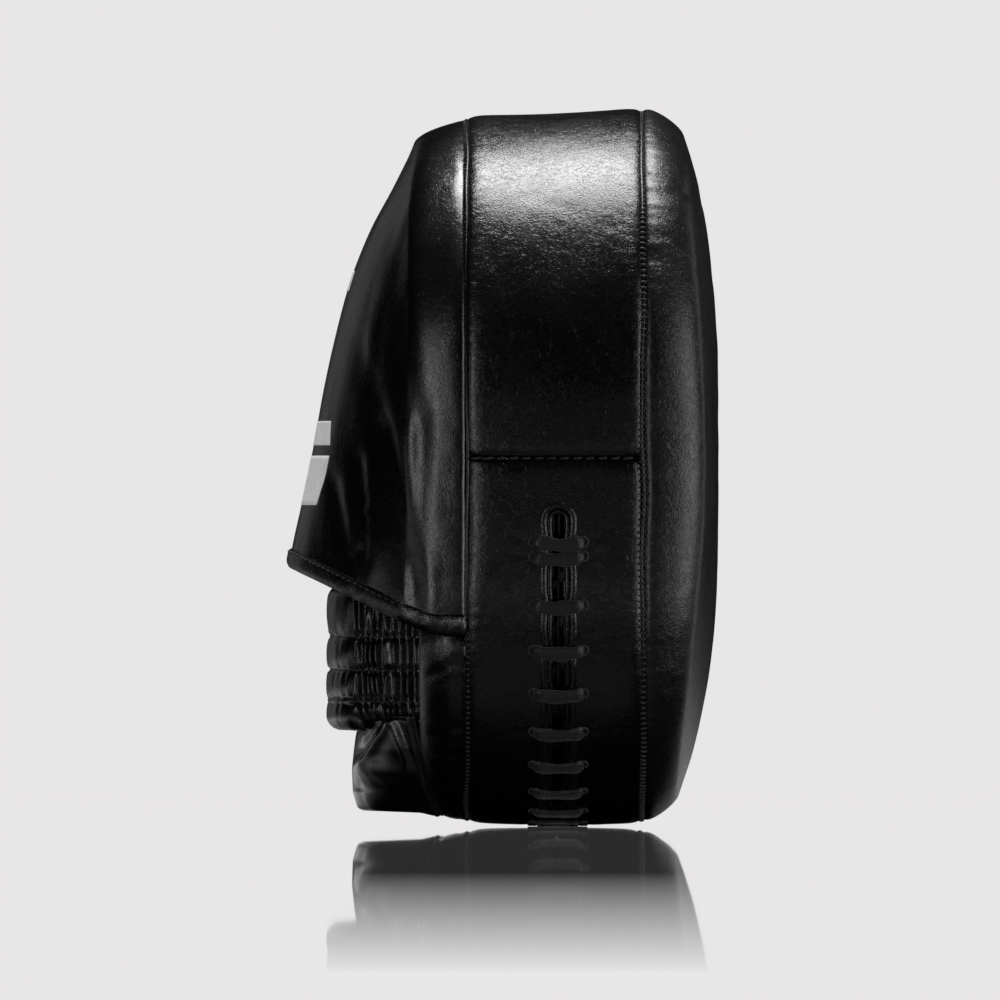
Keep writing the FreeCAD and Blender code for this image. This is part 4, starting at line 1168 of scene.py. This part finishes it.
def hand_loops():
    """Cloth sewn down at its sides that stands off in an arch: a sleeve for the fingers, closed
    towards their tips, and a loop for the thumb."""
    for name, node, half, deep, closes, finish, flat in (
        ("finger_sleeve_cloth", "finger_sleeve", 37, 10.5, 0.9, LINING, 0.084),
        ("thumb_loop_band", "thumb_loop", 12.6, 11.5, 0.0, SOFT_LEATHER, 0.043),
    ):
        low, high = span(node, "z")
        t = linspace(-1, 1, 90)[None, :]
        v = linspace(0, 1, 60)[:, None]
        stand = deep * (1 - smooth(v, 0.55, 1.0) * closes) * (1 - np.abs(t) ** 3.2) ** 0.8
        grid = points(PLATE - 0.9 - stand, middle(node, "y") + half * t, low + (high - low) * v)
        wave = 0.5 * noise(grid, (9, 7, 16), 91) + 0.2 * noise(grid, 3.5, 92)
        wave = wave + 0.7 * hump(v * (high - low) - 4.5, 0.7)
        grid[..., 0] += minimum(wave * (stand > 1), 0.5 + 0.5 * stand)
        grid[..., 0] = minimum(grid[..., 0], PLATE - 0.7)
        obj = panel(name, grid, node, finish, 1.3)


# ---- camera, floor and light

CENTRE = (-0.00134, 0.0, 0.1082)  # what the camera looks at, in metres
AWAY = 6.0  # a long lens, far off and level
FRAME_WIDE = 0.3361  # what the picture shows across, at the pad


def camera():
    data = bpy.data.cameras.new("Camera")
    obj = add_object("Camera", data)
    obj.location = (CENTRE[0], -AWAY, CENTRE[2])
    obj.rotation_euler = (pi / 2, 0, 0)
    data.lens = data.sensor_width * AWAY / FRAME_WIDE
    data.clip_start, data.clip_end = 0.1, 60
    bpy.context.scene.camera = obj
    bpy.context.scene.view_settings.view_transform = "Standard"


PALE = (0.807, 0.791, 0.799)  # the studio's pale grey
FLOOR = -0.0014  # its level, in metres
STUDIO = 9000  # the backdrop's radius


def studio_surface(name, mirror):
    """Pale and glowing evenly, with a painted contact shadow on the floor near the mitt.  The floor
    also mirrors what stands on it, less with distance.
    """
    s = Shader(name)
    s.nodes.remove(s.surface)
    glow = s.add("Emission", "Emission", {"Color": (*PALE, 1), "Strength": 1.0})
    output = s.nodes["Material Output"].inputs["Surface"]
    s.material.cycles.emission_sampling = "NONE"
    if not mirror:
        s.links.new(glow, output)
        return s.material
    # painted contact shadow: ambient occlusion dims the floor's glow near the mitt
    painted_contact_shadow = s.add("AmbientOcclusion", "AO", {"Distance": 0.03})
    s.links.new(s.fit(painted_contact_shadow, 0.0, 1.0, 0.7, 1.0), glow.node.inputs["Strength"])
    depth = s.add("SeparateXYZ", "Y", {"Vector": s.place})
    near = s.maths("POWER", s.fit(depth, -1.86, -0.75), 0.8)
    behind = s.fit(depth, 0.15, 0.6, 1.0, 0.0)
    shine = s.add("BsdfGlossy", "BSDF", {"Roughness": 0.02, "Color": (1, 1, 1, 1)})
    facing = s.fit(s.add("Fresnel", "Fac", {"IOR": 1.5}), 0.1, 0.7, 0.0, 0.97)
    amount = s.maths("MULTIPLY", s.maths("MULTIPLY", near, behind), facing)
    s.links.new(s.add("MixShader", 0, {0: amount, 1: glow, 2: shine}), output)
    return s.material


def studio():
    """A pale floor and a pale dome.  They light only each other, so the leather stays dark."""
    turn = turns(96)[None, :]
    reach = STUDIO * 1.02 * linspace(0, 1, 24)[:, None] ** 2
    disc = points(reach * cos(turn), reach * sin(turn), FLOOR * 1000)
    floor = make("studio_floor", disc, TUBE, outside_of=(0, 0, -500))
    floor.data.materials.append(studio_surface("Studio floor", mirror=True))
    tilt = linspace(-pi / 2, pi / 2, 48)[:, None]
    reach = STUDIO * cos(tilt)
    dome = points(reach * cos(turn), reach * sin(turn), STUDIO * sin(tilt))
    backdrop = make("studio_backdrop", dome, TUBE)
    backdrop.data.materials.append(studio_surface("Studio backdrop", mirror=False))
    lit = bpy.data.collections.new("Lit by the studio")
    lit.objects.link(floor)
    for obj in (floor, backdrop):
        obj.light_linking.receiver_collection = lit
    unlit = bpy.data.collections.new("Not lit by the softboxes")
    unlit.objects.link(floor)
    unlit.collection_objects[0].light_linking.link_state = "EXCLUDE"
    return unlit


def lights(spared):
    """Four softboxes, a strip and a bounce, each facing the mitt from a direction and distance,
    and a dim surround.  The spared floor neither takes their light nor stops it."""
    for name, towards, distance, wide, tall, power in (
        ("Overhead softbox", (0.05, 0.15, 1), 1.1, 0.62, 0.50, 15.5),
        ("Left front strip", (-0.62, -0.78, 0.08), 1.4, 0.18, 1.1, 3.0),
        ("Left rim panel", (-0.45, 0.9, 0.1), 1.6, 0.6, 1.2, 0.35),
        ("Right side panel", (0.88, -0.47, 0.10), 1.6, 0.8, 1.3, 9.5),
        ("Right back panel", (1, 0.7, 0.2), 1.6, 0.5, 1.2, 1.3),
        ("Floor bounce", (-0.1, -0.64, -0.77), 1.4, 1.2, 0.8, 0.45),
    ):
        data = bpy.data.lights.new(name, "AREA")
        data.shape = "RECTANGLE"
        data.size, data.size_y, data.energy = wide, tall, power
        obj = add_object(name, data)
        direction = Vector(towards).normalized()
        obj.location = Vector((0.01, 0, 0.12)) + direction * distance
        obj.rotation_mode = "QUATERNION"
        obj.rotation_quaternion = direction.to_track_quat("Z", "Y")
        obj.visible_camera = False
        linking = obj.light_linking
        linking.receiver_collection = linking.blocker_collection = spared
    world = bpy.data.worlds.new("Dim studio")
    bpy.context.scene.world = world
    world.use_nodes = True
    ambient = world.node_tree.nodes["Background"]
    ambient.inputs["Color"].default_value = (1, 1, 1, 1)
    ambient.inputs["Strength"].default_value = 0.004


# ---- everything in its place

camera()
lights(studio())
gusset()
seam_stitches()
welts()
binding()
tongue()
lace()
strike_face()
filling()
hood()
hem()
stripes()
back_panel()
wrist_strap()
gore(1, "left")
gore(-1, "right")
cuff_skirt()
palm_grip()
hand_loops()
